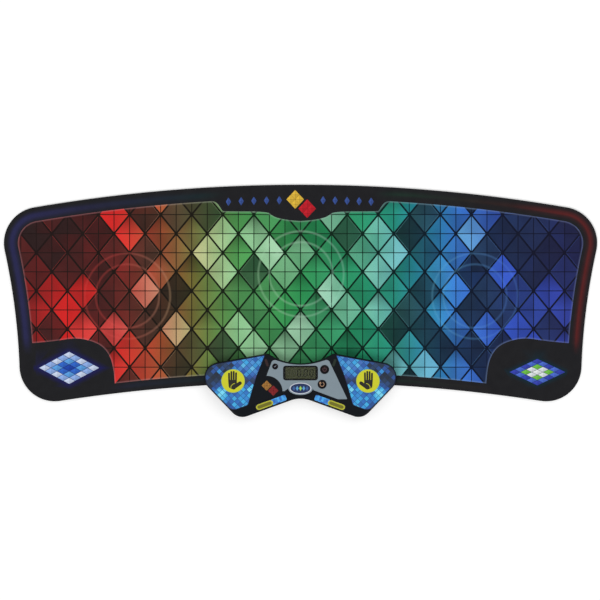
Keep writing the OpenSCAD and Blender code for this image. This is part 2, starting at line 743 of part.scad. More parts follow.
module sensor_foil(pad) {
    color([0.72, 0.45, 0.25]) translate([0, timer_y, 0])
        slab(rounded(inset(pad, same(foil_inset)), 5), roof_z - foil_t, roof_z);
}

module left_sensor_foil() { sensor_foil(left_pad); }
module right_sensor_foil() { sensor_foil(flip(left_pad)); }

// Lead from a foil's inner edge down to the board
lead_foil_end = [82, -30];
lead_board_end = [50.5, -24];

module sensor_lead(s) {
    color([0.75, 0.75, 0.72]) translate([0, timer_y, 0]) tube(smooth_path([
        [s * lead_foil_end[0], lead_foil_end[1], roof_z - foil_t],
        [s * lead_foil_end[0], lead_foil_end[1], board_top - 4],
        [s * lead_board_end[0], lead_board_end[1], roof_z + 3],
        [s * lead_board_end[0], lead_board_end[1], board_top]
    ]), lead_d);
}

module left_sensor_lead() { sensor_lead(-1); }
module right_sensor_lead() { sensor_lead(1); }

// --- Face panel and display --------------------------------------------------------

function inset_panel(d) = [
    for (i = [0:len(panel) - 1]) inset(panel, [for (k = [0:len(panel) - 1]) d])[i]
];

module face_panel() {
    color([0.62, 0.64, 0.68]) translate([0, timer_y, 0]) difference() {
        union() {
            slab(rounded(panel), panel_z, panel_top);
            slab(tongue_outline, panel_z, panel_top);
        }
        translate([-bay_x, -bay_drop, 0]) round_bar(bay_r, 0, top_z + 2);
        translate([0, -window_drop, 0]) slab(box_outline(window_w + 2 * fit, window_d + 2 * fit, window_r), 0, top_z + 2);
        at_spot(power_at) round_bar(button_r + button_gap, 0, top_z + 2);
        at_spot(clear_at) round_bar(button_r + button_gap, 0, top_z + 2);
        at_spot(mode_at) round_bar(mode_r + button_gap, 0, top_z + 2);
    }
}

module display_mask() {
    color([0.02, 0.02, 0.02]) translate([0, timer_y - window_drop, 0]) difference() {
        slab(box_outline(window_w, window_d, window_r), panel_z, panel_z + mask_t);
        slab(box_outline(view_w, view_d, 1), 0, top_z);
    }
}

module display_window() {
    color([0.85, 0.9, 0.9, 0.3]) translate([0, timer_y - window_drop, 0])
        slab(box_outline(window_w, window_d, window_r), panel_z + mask_t, panel_z + mask_t + window_t);
}

glass_z = roof_z - glass_t;

module display_glass() {
    color([0.42, 0.44, 0.33]) translate([0, timer_y - window_drop, 0]) block(glass_w, glass_d, glass_z, roof_z);
}

module display_holder() {
    color([0.85, 0.85, 0.8]) translate([0, timer_y - window_drop, 0]) difference() {
        block(glass_w + 3, glass_d + 1.7, board_top, roof_z - fit);
        block(glass_w + 2 * pin_fit, glass_d + 2 * pin_fit, glass_z - pin_fit / 2, roof_z + 1);
        block(glass_w - 4, glass_d - 1.6, board_top - 1, roof_z + 1);
    }
}

module connector_strips() {
    color([0.2, 0.2, 0.22]) for (s = [-1, 1])
        translate([0, timer_y - window_drop + s * (glass_d / 2 - 0.8 - strip_w / 2 - fit), 0])
            block(glass_w - 6, strip_w, board_top, glass_z);
}

// --- Buttons and switches ----------------------------------------------------------

module button(p, r) {
    translate([0, timer_y, 0]) at_spot(p) {
        round_bar(r, flange_z, cap_top);
        round_bar(r + flange_rim, flange_z, flange_z + flange_t);
    }
}

module power_button() { color([0.05, 0.04, 0.05]) button(power_at, button_r); }
module clear_button() { color([0.05, 0.04, 0.05]) button(clear_at, button_r); }
module mode_button() { color([0.1, 0.1, 0.13]) button(mode_at, mode_r); }

plunger_foot = switch_top - 1.2;

module switch_plunger(p) {
    color([0.9, 0.9, 0.88]) translate([0, timer_y, 0]) at_spot(p) round_bar(plunger_r, plunger_foot, flange_z);
}

module power_switch_plunger() { switch_plunger(power_at); }
module clear_switch_plunger() { switch_plunger(clear_at); }
module mode_switch_plunger() { switch_plunger(mode_at); }

module switch_bodies() {
    color([0.1, 0.1, 0.1]) translate([0, timer_y, 0]) for (p = [power_at, clear_at, mode_at]) at_spot(p) difference() {
        block(switch_w, switch_w, board_top, switch_top);
        round_bar(plunger_r + pin_fit, plunger_foot - button_travel - pin_fit, roof_z);
    }
}

// --- Board -------------------------------------------------------------------------

module circuit_board() {
    color([0.08, 0.35, 0.16]) translate([0, timer_y, 0]) difference() {
        slab(board_outline, board_z, board_top);
        for (p = board_screw_spots) translate([p[0], p[1], 0]) round_bar(1.1 + pin_fit, 0, top_z);
    }
}

module controller_chips() {
    color([0.05, 0.05, 0.05]) translate([0, timer_y, 0]) {
        translate([0, board_front + 8, 0]) block(8, 6, board_top, board_top + 1.2);
        translate([-30, board_front + 12, 0]) block(5, 6, board_top, board_top + 1.2);
        translate([-38, board_front + 8, 0]) block(3, 1.6, board_top, board_top + 0.8);
        translate([-24, board_front + 6, 0]) block(3, 1.6, board_top, board_top + 0.8);
    }
}

module quartz_can() {
    color([0.75, 0.75, 0.76]) translate([-38, timer_y - 30, 0])
        slab(pill_outline(4, 9), board_top, board_top + 3);
}

// The domes end short of the windows above them
window_flange_z = roof_z - 1;
led_dome_z = window_flange_z - 0.7 - led_r;

module status_leds() {
    color([0.85, 0.8, 0.75]) translate([0, timer_y, 0]) lights()
        rotate_extrude() polygon(concat([[0, board_top], [led_r, board_top]], arc([0, led_dome_z], led_r, 0, 90, 6)));
}

module status_window(s, tint) {
    color(tint) translate([s * light_at[0], timer_y - light_at[1], 0]) rotate([0, 0, -s * light_lean]) {
        slab(pill_outline(light_w, light_l), window_flange_z, top_z + 0.1);
        slab(pill_outline(light_w + 1.6, light_l + 1.6), window_flange_z, roof_z);
    }
}

module left_status_window() { status_window(-1, [0.25, 0.03, 0.03]); }
module right_status_window() { status_window(1, [0.03, 0.16, 0.06]); }

// Data socket: a round nose in the rear wall, under the parting line, and a body under the board
socket_z = parting_z - jack_nose_r - 2 * pin_fit;
socket_h = 2 * (board_z - socket_z);
socket_nose_y = hollow_y - 0.3;
socket_body_y = socket_nose_y - wall - 0.4;

module data_socket() {
    color([0.05, 0.05, 0.05]) translate([0, timer_y, 0]) difference() {
        union() {
            translate([-jack_w / 2, socket_nose_y - jack_bore_l - 1.5, board_z - socket_h])
                cube([jack_w, socket_body_y - (socket_nose_y - jack_bore_l - 1.5), socket_h]);
            translate([0, socket_body_y - 1, socket_z]) rotate([-90, 0, 0])
                cylinder(r = jack_nose_r, h = socket_nose_y - socket_body_y + 1);
        }
        translate([0, socket_nose_y - jack_bore_l, socket_z]) rotate([-90, 0, 0])
            cylinder(r = jack_bore_r, h = jack_bore_l + 1);
    }
}

// --- Batteries ---------------------------------------------------------------------

module battery_door() {
    x0 = box_x0 + door_gap;
    x1 = box_x1 - door_gap;
    y0 = box_y0 + door_gap;
    color([0.06, 0.06, 0.07]) translate([0, timer_y, 0]) {
        difference() {
            union() {
                translate([x0, y0, ground_gap]) cube([x1 - x0, door_axis[0] - y0, door_t]);
                translate([x0, door_axis[0], door_axis[1]]) rotate([0, 90, 0]) cylinder(r = door_t / 2, h = x1 - x0);
            }
            // Three grip grooves across the outer face
            for (k = [0:2]) translate([(x0 + x1) / 2 - 8, y0 + 3 + 2 * k, ground_gap - 1]) cube([16, 0.9, 1.4]);
        }
        translate([box_x0 - door_pin_l, door_axis[0], door_axis[1]]) rotate([0, 90, 0])
            cylinder(r = door_pin_r, h = box_l + 2 * door_pin_l);
    }
}

// Runs its children at each cell, with X along the cell towards its button
module each_cell() {
    translate([0, timer_y, 0]) {
        translate([box_x0, cell_ys[0], cell_z]) children();
        translate([box_x1, cell_ys[1], cell_z]) rotate([0, 0, 180]) children();
    }
}

module battery_cells() {
    color([0.75, 0.55, 0.2]) each_cell() translate([plate_t + spring_l, 0, 0]) rotate([0, 90, 0]) {
        cylinder(r = cell_d / 2, h = cell_l);
        cylinder(r = 1.9, h = cell_l + nub_l);
    }
}

spring_wire = 0.5;
spring_turns = 4;
spring_rings = 10;

module battery_springs() {
    steps = spring_turns * spring_rings;
    pitch_l = spring_l - spring_wire;
    path = [for (i = [0:steps]) [
        plate_t + spring_wire / 2 + pitch_l * i / steps,
        (3.6 - 1.4 * i / steps) * cos(360 * i / spring_rings),
        (3.6 - 1.4 * i / steps) * sin(360 * i / spring_rings)
    ]];
    gaps = [for (i = [0:steps - spring_rings]) norm(path[i + spring_rings] - path[i]) - spring_wire];
    echo(least_gap_between_spring_turns = min(gaps));
    color([0.8, 0.8, 0.8]) each_cell() tube(path, spring_wire, 6);
}

module battery_plates() {
    color([0.8, 0.8, 0.8]) each_cell() {
        translate([0, -4.4, -4.4]) cube([plate_t, 8.8, 8.8]);
        translate([box_l - plate_t, -4.4, -4.4]) cube([plate_t, 8.8, 8.8]);
    }
}

// Lead from the box's right wall up to the underside of the board
module battery_lead(k) {
    start = [box_x1 + box_wall, cell_ys[k], cell_z + 2];
    finish = [-40 + 3 * k, board_front + 5 - 2 * k, board_z];
    translate([0, timer_y, 0]) tube(smooth_path([
        start, start + [5, 0, 0], finish - [0, 0, 5], finish
    ]), lead_d);
}

module battery_lead_positive() { color([0.7, 0.08, 0.06]) battery_lead(0); }
module battery_lead_negative() { color([0.04, 0.04, 0.04]) battery_lead(1); }

// --- Fasteners, feet and labels ------------------------------------------------------

module cross_slot(z0, z1) {
    for (a = [0, 90]) rotate([0, 0, a]) block(0.7, 2.6, z0, z1);
}

module housing_screws() {
    seat = rear_z + head_t;
    color([0.5, 0.5, 0.52]) translate([0, timer_y, 0]) for (p = screw_spots) translate([p[0], p[1], 0]) difference() {
        union() {
            round_bar(head_r, seat - head_t, seat + fit);
            round_bar(screw_r, seat, screw_tip_z);
        }
        cross_slot(seat - head_t - 1, seat - head_t + 0.8);
    }
}

module board_screws() {
    color([0.5, 0.5, 0.52]) translate([0, timer_y, 0]) for (p = board_screw_spots) translate([p[0], p[1], 0]) difference() {
        union() {
            round_bar(2.1, board_z - 1.2, board_z);
            round_bar(1.0, board_z - 1.2, board_screw_tip_z);
        }
        cross_slot(board_z - 2, board_z - 0.6);
    }
}

module rubber_feet() {
    color([0.13, 0.13, 0.13]) translate([0, timer_y, 0]) for (p = foot_spots) translate([p[0], p[1], 0])
        round_bar(foot_r, 0, ground_gap + foot_seat);
}

// A label lies on the front slope, halfway up it
slope_angle = atan2(slope_rise, front_slope);
label_mid = (xy(outline[0]) + xy(outline[7])) / 2 + front_u * label_in + front_n * front_slope / 2;

module front_label(s) {
    color([0.72, 0.7, 0.18]) translate([0, timer_y, 0]) mirror([s > 0 ? 1 : 0, 0, 0])
        translate([label_mid[0], label_mid[1], (parting_z + top_z) / 2])
            rotate([0, 0, atan2(front_u[1], front_u[0])]) rotate([slope_angle, 0, 0])
                translate([0, 0, 0.05]) slab(box_outline(label_l, label_w, 3), 0, label_t);
}

module left_front_label() { front_label(-1); }
module right_front_label() { front_label(1); }

// --- Nodes -----------------------------------------------------------------------------

mat_base();
mat_cloth();
mat_snap_studs();
lower_housing();
upper_housing();
face_panel();
left_touch_pad();
right_touch_pad();
left_sensor_foil();
right_sensor_foil();
left_sensor_lead();
right_sensor_lead();
display_window();
display_mask();
display_glass();
display_holder();
connector_strips();
power_button();
clear_button();
mode_button();
power_switch_plunger();
clear_switch_plunger();
mode_switch_plunger();
switch_bodies();
circuit_board();
controller_chips();
quartz_can();
status_leds();
left_status_window();
right_status_window();
data_socket();
battery_door();
battery_cells();
battery_springs();
battery_plates();
battery_lead_positive();
battery_lead_negative();
housing_screws();
board_screws();
rubber_feet();
left_front_label();
right_front_label();
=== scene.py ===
import math
import random

import bpy
import numpy as np
from mathutils import Matrix, Vector
from mathutils.geometry import delaunay_2d_cdt


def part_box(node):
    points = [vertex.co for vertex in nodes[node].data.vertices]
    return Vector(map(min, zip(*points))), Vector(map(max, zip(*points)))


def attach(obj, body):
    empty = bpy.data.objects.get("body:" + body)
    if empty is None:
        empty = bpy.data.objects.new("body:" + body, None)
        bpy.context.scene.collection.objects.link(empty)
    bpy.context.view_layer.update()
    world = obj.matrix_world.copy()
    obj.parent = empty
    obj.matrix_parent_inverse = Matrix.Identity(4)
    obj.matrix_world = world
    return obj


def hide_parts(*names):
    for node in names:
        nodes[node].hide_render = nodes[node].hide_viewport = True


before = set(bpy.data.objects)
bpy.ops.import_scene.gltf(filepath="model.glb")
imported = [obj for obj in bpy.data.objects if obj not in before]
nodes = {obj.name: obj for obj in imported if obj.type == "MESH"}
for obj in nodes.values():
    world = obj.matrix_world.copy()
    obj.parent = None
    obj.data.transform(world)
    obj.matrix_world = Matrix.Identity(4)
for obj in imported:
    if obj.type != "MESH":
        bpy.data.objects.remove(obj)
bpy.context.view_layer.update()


# --- Camera, floor and light ---
# The set is seen from straight above through a long lens, on a white table,
# under an even studio light with one broad lamp from the rear left.
def feed(tree, node, inputs):
    """Sets a node's inputs, by name or number, to values or to the outputs that feed them."""
    for key, value in inputs.items():
        if isinstance(value, bpy.types.NodeSocket):
            tree.links.new(value, node.inputs[key])
        else:
            node.inputs[key].default_value = value


def add_node(tree, kind, inputs):
    """A new shader node with those inputs."""
    node = tree.nodes.new(kind)
    feed(tree, node, inputs)
    return node


def add_maths(tree, operation, *values):
    """The result of a new maths node."""
    node = add_node(tree, "ShaderNodeMath", dict(enumerate(values)))
    node.operation = operation
    return node.outputs[0]


def add_mix(tree, blend, share, first, second):
    """The result of a new node that mixes two colours."""
    node = tree.nodes.new("ShaderNodeMix")
    node.data_type = "RGBA"
    node.blend_type = blend
    feed(tree, node, {"Factor": share, "A": first, "B": second})
    return node.outputs["Result"]


def put(name, data):
    """A new object in the scene."""
    thing = bpy.data.objects.new(name, data)
    bpy.context.scene.collection.objects.link(thing)
    return thing


def new_piece(name, corners, faces, stuff):
    """A new mesh piece of one material, from corners in metres."""
    mesh = bpy.data.meshes.new(name)
    mesh.from_pydata(corners, [], faces)
    mesh.materials.append(stuff)
    return put(name, mesh)


def blank_tree(holder):
    """The node tree of a world or material, emptied."""
    holder.use_nodes = True
    holder.node_tree.nodes.clear()
    return holder.node_tree


white = (1, 1, 1, 1)

# The camera's view, in metres
view_width = 0.8499
view_middle = (-0.0007, 0.0011)
camera_height = 6.0
camera = put("camera", bpy.data.cameras.new("camera"))
camera.data.sensor_width = 36
camera.data.lens = camera.data.sensor_width * camera_height / view_width
camera.data.clip_end = 60
camera.location = (*view_middle, camera_height)
bpy.context.scene.camera = camera
bpy.context.scene.view_settings.view_transform = "Standard"

# What is seen past the table, straight, mirrored or through the clear window, is brighter than
# what lights the set
world = bpy.data.worlds.new("studio")
bpy.context.scene.world = world
sky = blank_tree(world)
room_light = add_node(sky, "ShaderNodeBackground", {"Color": white, "Strength": 0.5})
backdrop = add_node(sky, "ShaderNodeBackground", {"Color": white, "Strength": 1.0})
ray = sky.nodes.new("ShaderNodeLightPath")
seen = add_maths(sky, "MAXIMUM", ray.outputs["Is Camera Ray"], ray.outputs["Is Transmission Ray"])
seen_or_mirrored = add_maths(sky, "MAXIMUM", seen, ray.outputs["Is Glossy Ray"])
either = add_node(sky, "ShaderNodeMixShader", {
    0: seen_or_mirrored, 1: room_light.outputs[0], 2: backdrop.outputs[0]})
add_node(sky, "ShaderNodeOutputWorld", {"Surface": either.outputs[0]})

for lamp_name, power, spread, turn in (
        ("broad_lamp", 1.25, 30, (24, -18, 0)), ("fill_lamp", 0.45, 60, (-30, 26, 0))):
    lamp = put(lamp_name, bpy.data.lights.new(lamp_name, "SUN"))
    lamp.data.energy = power
    lamp.data.angle = math.radians(spread)
    lamp.rotation_euler = [math.radians(a) for a in turn]

# The table, in metres, shows whiter to the camera than it shines on the set
table_half, table_z = 6, -0.0003
table_corners = [(x * table_half, y * table_half, table_z) for x, y in ((-1, -1), (1, -1), (1, 1), (-1, 1))]
table_paint = bpy.data.materials.new("white_table")
paint = blank_tree(table_paint)
matt = add_node(paint, "ShaderNodeBsdfDiffuse", {"Color": (0.8, 0.8, 0.8, 1)})
table_ray = paint.nodes.new("ShaderNodeLightPath")
lift_share = add_maths(paint, "MULTIPLY", table_ray.outputs["Is Camera Ray"], 0.3)
lift = add_node(paint, "ShaderNodeEmission", {"Color": white, "Strength": lift_share})
both = add_node(paint, "ShaderNodeAddShader", {0: matt.outputs[0], 1: lift.outputs[0]})
add_node(paint, "ShaderNodeOutputMaterial", {"Surface": both.outputs[0]})
table = new_piece("table", table_corners, [(0, 1, 2, 3)], table_paint)


# --- Mat base ---
# A 2.6 mm sheet of black foam rubber, die-cut in one go with the cloth on it.
# It shows fine closed cells, and a shallow grip pattern is pressed into it.
def screen(red, green, blue):
    """A colour given as it looks on a screen, in the linear scale that the shaders use."""
    return tuple(c / 12.92 if c <= 0.04045 else ((c + 0.055) / 1.055) ** 2.4 for c in (red, green, blue))


def finish(name, colour, roughness, grain=0.5, depth=0.02, tone=0.15, metallic=0.0, gloss=0.5, coat=0.0,
           printed=False, weave=0.0):
    """A material whose tone, roughness and relief vary with a grain of that size in mm.

    depth is the relief in mm. printed takes the colour from the piece's own print, and weave is
    the pitch in mm of threads or ribs that cross.
    """
    stuff = bpy.data.materials.new(name)
    stuff.use_nodes = True
    tree = stuff.node_tree
    place = tree.nodes.new("ShaderNodeTexCoord").outputs["Object"]
    fine = add_node(tree, "ShaderNodeTexNoise", {"Vector": place, "Scale": 1000 / grain, "Detail": 3})
    broad = add_node(tree, "ShaderNodeTexNoise", {"Vector": place, "Scale": 90, "Detail": 4})
    noise_range = {"From Min": 0.3, "From Max": 0.7}
    shade = add_node(tree, "ShaderNodeMapRange", {
        **noise_range, "Value": fine.outputs["Fac"], "To Min": 1 - tone, "To Max": 1 + tone})
    base = (*screen(*colour), 1) if colour else white
    if printed:
        ink = tree.nodes.new("ShaderNodeAttribute")
        ink.attribute_name = "print"
        base = ink.outputs["Color"]
    tint = add_mix(tree, "MULTIPLY", 1, base, shade.outputs["Result"])
    rub = add_node(tree, "ShaderNodeMapRange", {
        **noise_range, "Value": broad.outputs["Fac"],
        "To Min": max(roughness - 0.07, 0.03), "To Max": min(roughness + 0.07, 1)})
    height, thread_height = fine.outputs["Fac"], 0.6
    for way in ("X", "Y") if weave else ():
        thread = add_node(tree, "ShaderNodeTexWave", {
            "Vector": place, "Scale": math.pi / (10 * weave / 1000), "Distortion": 0.6})
        thread.bands_direction = way
        height = add_maths(tree, "MULTIPLY_ADD", thread.outputs["Fac"], thread_height, height)
    relief = add_node(tree, "ShaderNodeBump", {"Strength": 0.6, "Distance": depth / 1000, "Height": height})
    feed(tree, tree.nodes["Principled BSDF"], {
        "Base Color": tint, "Roughness": rub.outputs["Result"], "Normal": relief.outputs["Normal"],
        "Metallic": metallic, "Specular IOR Level": gloss, "Coat Weight": coat, "Coat Roughness": 0.08})
    return stuff


def smooth(piece, angle):
    """Smooths a piece but for its edges sharper than that angle."""
    piece.data.polygons.foreach_set("use_smooth", [True] * len(piece.data.polygons))
    piece.modifiers.new("crease", "EDGE_SPLIT").split_angle = math.radians(angle)


def dress(name, stuff):
    """Gives a CAD node its finish, with its curved faces smooth and its edges crisp."""
    body = nodes[name]
    body.data.materials.clear()
    body.data.materials.append(stuff)
    body.data.polygons.foreach_set("material_index", [0] * len(body.data.polygons))
    body.modifiers.new("weld", "WELD").merge_threshold = 1e-6
    smooth(body, 28)


dress("mat_base", finish(
    "foam_rubber", (0.13, 0.13, 0.14), 0.85, grain=0.35, depth=0.2, tone=0.3, gloss=0.2, weave=2.4))


# --- Printed cloth of the mat ---
# A 0.4 mm knitted cloth, dye-printed and bonded to the rubber. The print is a field of faceted
# diamonds from red through green to blue, in a black border with one soft coloured line.
def arc(centre, radius, start, end, steps):
    """Points on an arc, with its angles in degrees. radius may differ from its start to its end."""
    first, last = radius if isinstance(radius, tuple) else (radius, radius)
    points = []
    for i in range(steps + 1):
        share = i / steps
        angle = math.radians(start + (end - start) * share)
        reach = first + (last - first) * share
        points.append((centre[0] + reach * math.cos(angle), centre[1] + reach * math.sin(angle)))
    return points


def angle_to(here, there):
    """The direction from one point to another, in degrees."""
    return math.degrees(math.atan2(there[1] - here[1], there[0] - here[0]))


# The mat's outline in mm: the middles and radii of its arcs, and the width of its black rim
rear_centre, front_centre, side_centre = (0, -2065.7), (0, -2345.7), (1313.25, -126.7)
rear_corner, front_corner = (369.0, 81.83), (347.86, -92.39)
bow_r, side_r, rear_r, front_r = 2230, 916, 51, 50
rim_rear, rim_front = 19.8, 14.2


def mat_edge(share, back=0.0):
    """The mat's outline from the front middle and round the right.

    It is moved in by that share of the black rim and by back mm.
    """
    front, rear = share * rim_front + back, share * rim_rear + back
    half = arc(front_centre, bow_r + front, 90, angle_to(front_centre, front_corner), 40)
    half += arc(
        front_corner, (front_r - front, front_r - rear), angle_to(front_corner, front_centre),
        angle_to(front_corner, side_centre), 24)[1:]
    half += arc(
        side_centre, side_r + rear, angle_to(side_centre, front_corner), angle_to(side_centre, rear_corner),
        20)[1:]
    half += arc(
        rear_corner, rear_r - rear, angle_to(rear_corner, side_centre), angle_to(rear_centre, rear_corner),
        24)[1:]
    half += arc(rear_centre, bow_r - rear, angle_to(rear_centre, rear_corner), 90, 40)[1:]
    return half + [(-x, y) for x, y in half[-2:0:-1]]


def within(points, outline):
    """For each point, whether it lies in the closed outline."""
    px, py = np.asarray(points, float).T[:, :, None]
    x0, y0 = np.asarray(outline, float).T[:, None, :]
    x1, y1 = np.roll(x0, -1, 1), np.roll(y0, -1, 1)
    crosses = (y0 > py) != (y1 > py)
    with np.errstate(divide="ignore", invalid="ignore"):
        left = px < (x1 - x0) * (py - y0) / (y1 - y0) + x0
    return (crosses & left).sum(1) % 2 == 1


def reach_of(points, lines):
    """For each point, how far it is from the nearest of the closed lines."""
    px, py = np.asarray(points, float).T[:, :, None]
    nearest = np.full(len(points), 1e9)
    for line in lines:
        x0, y0 = np.asarray(line, float).T[:, None, :]
        dx, dy = np.roll(x0, -1, 1) - x0, np.roll(y0, -1, 1) - y0
        along = np.clip(((px - x0) * dx + (py - y0) * dy) / np.maximum(dx * dx + dy * dy, 1e-12), 0, 1)
        nearest = np.minimum(nearest, np.hypot(px - x0 - along * dx, py - y0 - along * dy).min(1))
    return nearest


def area_of(loop):
    """Twice the area in a closed line, above 0 where it runs anticlockwise."""
    return sum(x0 * y1 - x1 * y0 for (x0, y0), (x1, y1) in zip(loop, loop[1:] + loop[:1]))


def beside(loop, by):
    """A closed line moved outwards by that many mm, or inwards if by is below 0."""
    way = by if area_of(loop) > 0 else -by
    moved = []
    for i, (x, y) in enumerate(loop):
        (x0, y0), (x1, y1) = loop[i - 1], loop[(i + 1) % len(loop)]
        side = way / (math.hypot(x1 - x0, y1 - y0) or 1.0)
        moved.append((x + (y1 - y0) * side, y - (x1 - x0) * side))
    return moved


def walls(base, count, rings=2):
    """The faces between rings of count corners, the first of which starts at base."""
    turn = [(k, (k + 1) % count) for k in range(count)]
    return [[b + k, b + n, b + count + n, b + count + k]
            for b in range(base, base + (rings - 1) * count, count) for k, n in turn]


def paint_on(piece, colours):
    """Gives a piece its print, with a colour for each corner of each face."""
    layer = piece.data.color_attributes.new("print", "FLOAT_COLOR", "CORNER")
    layer.data.foreach_set("color", [v for colour in colours for v in (*colour, 1.0)])


def printed_plate(name, rings, zones, drawn, edge_ink, face_ink, stuff, place=None):
    """A flat piece in mm whose upper face is cut along its zones and the other closed lines drawn.

    Each colour so ends on an edge. rings are (outline, z) from the underside up to the printed face.
    edge_ink(ring, x, y) colours the rings, and face_ink(middle, zone, x, y, margin) the face: the
    zone is the last one that a patch lies in, or -1, and margin is how far x, y is from a zone.
    """
    count = len(rings[0][0])
    corners = [(x, y, z) for points, z in rings for x, y in points]
    faces = [list(range(count))[::-1]] + walls(0, count, len(rings))
    colours = [edge_ink(v // count, *corners[v][:2]) for face in faces for v in face]
    outline, top = rings[-1]
    points, lines = [], []
    for loop in [outline, *zones, *drawn]:
        start = len(points)
        points += [Vector(p) for p in loop]
        lines += [(start + i, start + (i + 1) % len(loop)) for i in range(len(loop))]
    cut, _, triangles, *_ = delaunay_2d_cdt(points, lines, [], 0, 1e-4, False)
    flat = np.array([(v.x, v.y) for v in cut])
    middles = np.array([flat[list(t)].mean(0) for t in triangles])
    kept = within(middles, outline)
    zone_of = np.full(len(triangles), -1)
    for k, zone in enumerate(zones):
        zone_of[within(middles, zone)] = k
    margins = reach_of(flat, [outline, *zones])
    seat = {}
    for t, middle, keep, zone in zip(triangles, middles, kept, zone_of):
        (ax, ay), (bx, by), (cx, cy) = (flat[i] for i in t)
        turn = (bx - ax) * (cy - ay) - (by - ay) * (cx - ax)
        if not keep or abs(turn) < 1e-7:
            continue
        t = list(t) if turn > 0 else list(t)[::-1]
        for i in t:
            if i not in seat:
                seat[i] = len(corners)
                corners.append((*flat[i], top))
        faces.append([seat[i] for i in t])
        colours += [face_ink(middle, zone, *flat[i], margins[i]) for i in t]
    place = place or Matrix.Identity(4)
    piece = new_piece(name, [tuple(place @ Vector(c) * 0.001) for c in corners], faces, stuff)
    if place.determinant() < 0:
        piece.data.flip_normals()
    paint_on(piece, colours)
    return piece


def plain_edge(colour):
    """An edge_ink for printed_plate that is one colour all round."""
    return lambda ring, x, y: colour


def mix(a, b, share):
    """The colour that lies that share of the way from a to b."""
    return tuple(p + (q - p) * share for p, q in zip(a, b))


def ease(low, high, x):
    """0 below low, 1 above high, and a smooth way between them."""
    t = min(max((x - low) / (high - low), 0), 1)
    return t * t * (3 - 2 * t)


def blend_stops(stops, x):
    """The colour at x between stops, each its x and then its screen colour."""
    if x <= stops[0][0]:
        return screen(*stops[0][1:])
    for (x0, *c0), (x1, *c1) in zip(stops, stops[1:]):
        if x <= x1:
            return mix(screen(*c0), screen(*c1), (x - x0) / (x1 - x0))
    return screen(*stops[-1][1:])


def smooth_loop(points, rounds=3):
    """An open line with its corners cut off in rounds, its ends kept."""
    for _ in range(rounds):
        cut = [points[0]]
        for (x0, y0), (x1, y1) in zip(points, points[1:]):
            cut += [(x0 * near + x1 * (1 - near), y0 * near + y1 * (1 - near)) for near in (0.75, 0.25)]
        points = cut + [points[-1]]
    return points


# Colours of the print from left to right, each with its x in mm first
line_stops = [
    (-395, 0.17, 0.17, 0.33), (-300, 0.15, 0.15, 0.25), (-170, 0.11, 0.15, 0.18),
    (-100, 0.09, 0.17, 0.16), (120, 0.1, 0.2, 0.16), (200, 0.13, 0.15, 0.14),
    (300, 0.19, 0.12, 0.12), (370, 0.36, 0.13, 0.13)]
bright_stops = [
    (-385, 0.62, 0.13, 0.13), (-330, 0.84, 0.13, 0.13), (-255, 0.87, 0.17, 0.16),
    (-215, 0.78, 0.3, 0.2), (-178, 0.6, 0.38, 0.2), (-142, 0.46, 0.51, 0.23),
    (-95, 0.34, 0.64, 0.34), (0, 0.15, 0.59, 0.32), (85, 0.15, 0.6, 0.42),
    (140, 0.11, 0.55, 0.48), (184, 0.19, 0.59, 0.76), (226, 0.24, 0.48, 0.86),
    (285, 0.21, 0.34, 0.8), (370, 0.22, 0.28, 0.68)]
pale_stops = [
    (-385, 0.84, 0.26, 0.24), (-255, 0.88, 0.34, 0.32), (-205, 0.86, 0.58, 0.48),
    (-155, 0.8, 0.78, 0.56), (-90, 0.62, 0.84, 0.62), (0, 0.7, 0.87, 0.75),
    (90, 0.5, 0.8, 0.7), (184, 0.44, 0.74, 0.86), (285, 0.36, 0.56, 0.88),
    (370, 0.3, 0.42, 0.78)]
dark_stops = [
    (-385, 0.15, 0.11, 0.11), (-285, 0.19, 0.1, 0.1), (-200, 0.18, 0.13, 0.1),
    (-142, 0.13, 0.15, 0.1), (-70, 0.08, 0.25, 0.14), (70, 0.06, 0.23, 0.15),
    (142, 0.05, 0.15, 0.16), (212, 0.07, 0.13, 0.22), (370, 0.11, 0.11, 0.22)]
groove_stops = [
    (-385, 0.12, 0.07, 0.07), (-142, 0.09, 0.08, 0.05), (-60, 0.03, 0.13, 0.06),
    (70, 0.02, 0.13, 0.08), (212, 0.03, 0.08, 0.16), (370, 0.07, 0.07, 0.15)]
border_black = screen(0.115, 0.115, 0.125)

# The lattice of diamonds in mm, the share of a diamond that its groove takes, and the guide rings
half_wide, half_tall, lattice_y = 22.0, 27.0, 14
cell_groove, facet_groove = 2.5, 0.6
groove_share = cell_groove / 2 * math.hypot(1 / half_wide, 1 / half_tall)
ring_places = ((-245, 6.7), (0.7, 38.0), (247, 6.7))
ring_sizes = (45.0, 60.5)
ring_dim_reach = 42
ring_blur, edge_glow, hair = 2.4, 2.4, 1.32
quarters = ((1, 1), (-1, 1), (-1, -1), (1, -1))

# The black parts that cut into the field: a lobe at each front corner, and the banner at the rear
left_bay = smooth_loop([
    (-378.9, -59.9), (-347, -57.0), (-317.3, -52.1), (-292.5, -57.7), (-278.8, -65.6),
    (-269.9, -78.0), (-265.4, -92.5), (-263.0, -115.1)])
left_bay += [(-263.0, -135), (-395, -135), (-395, -59.9)]
right_bay = [(-x, y) for x, y in left_bay]
banner = smooth_loop([
    (-131.5, 152), (-128.2, 141.6), (-119.7, 139.9), (-114.7, 134.2), (-111.2, 127.9), (-108.4, 126.4),
    (-47, 126.4), (-40, 120.6), (-33, 117.2), (-15, 113.9), (0, 112.9)], 2)
banner += [(-x, y) for x, y in banner[-2::-1]]
banner += [(140, 175), (-140, 175)]


def cell_middle(i, j):
    """The middle of the diamond at a place in the lattice."""
    return (i + j) * half_wide, (i - j) * half_tall + lattice_y


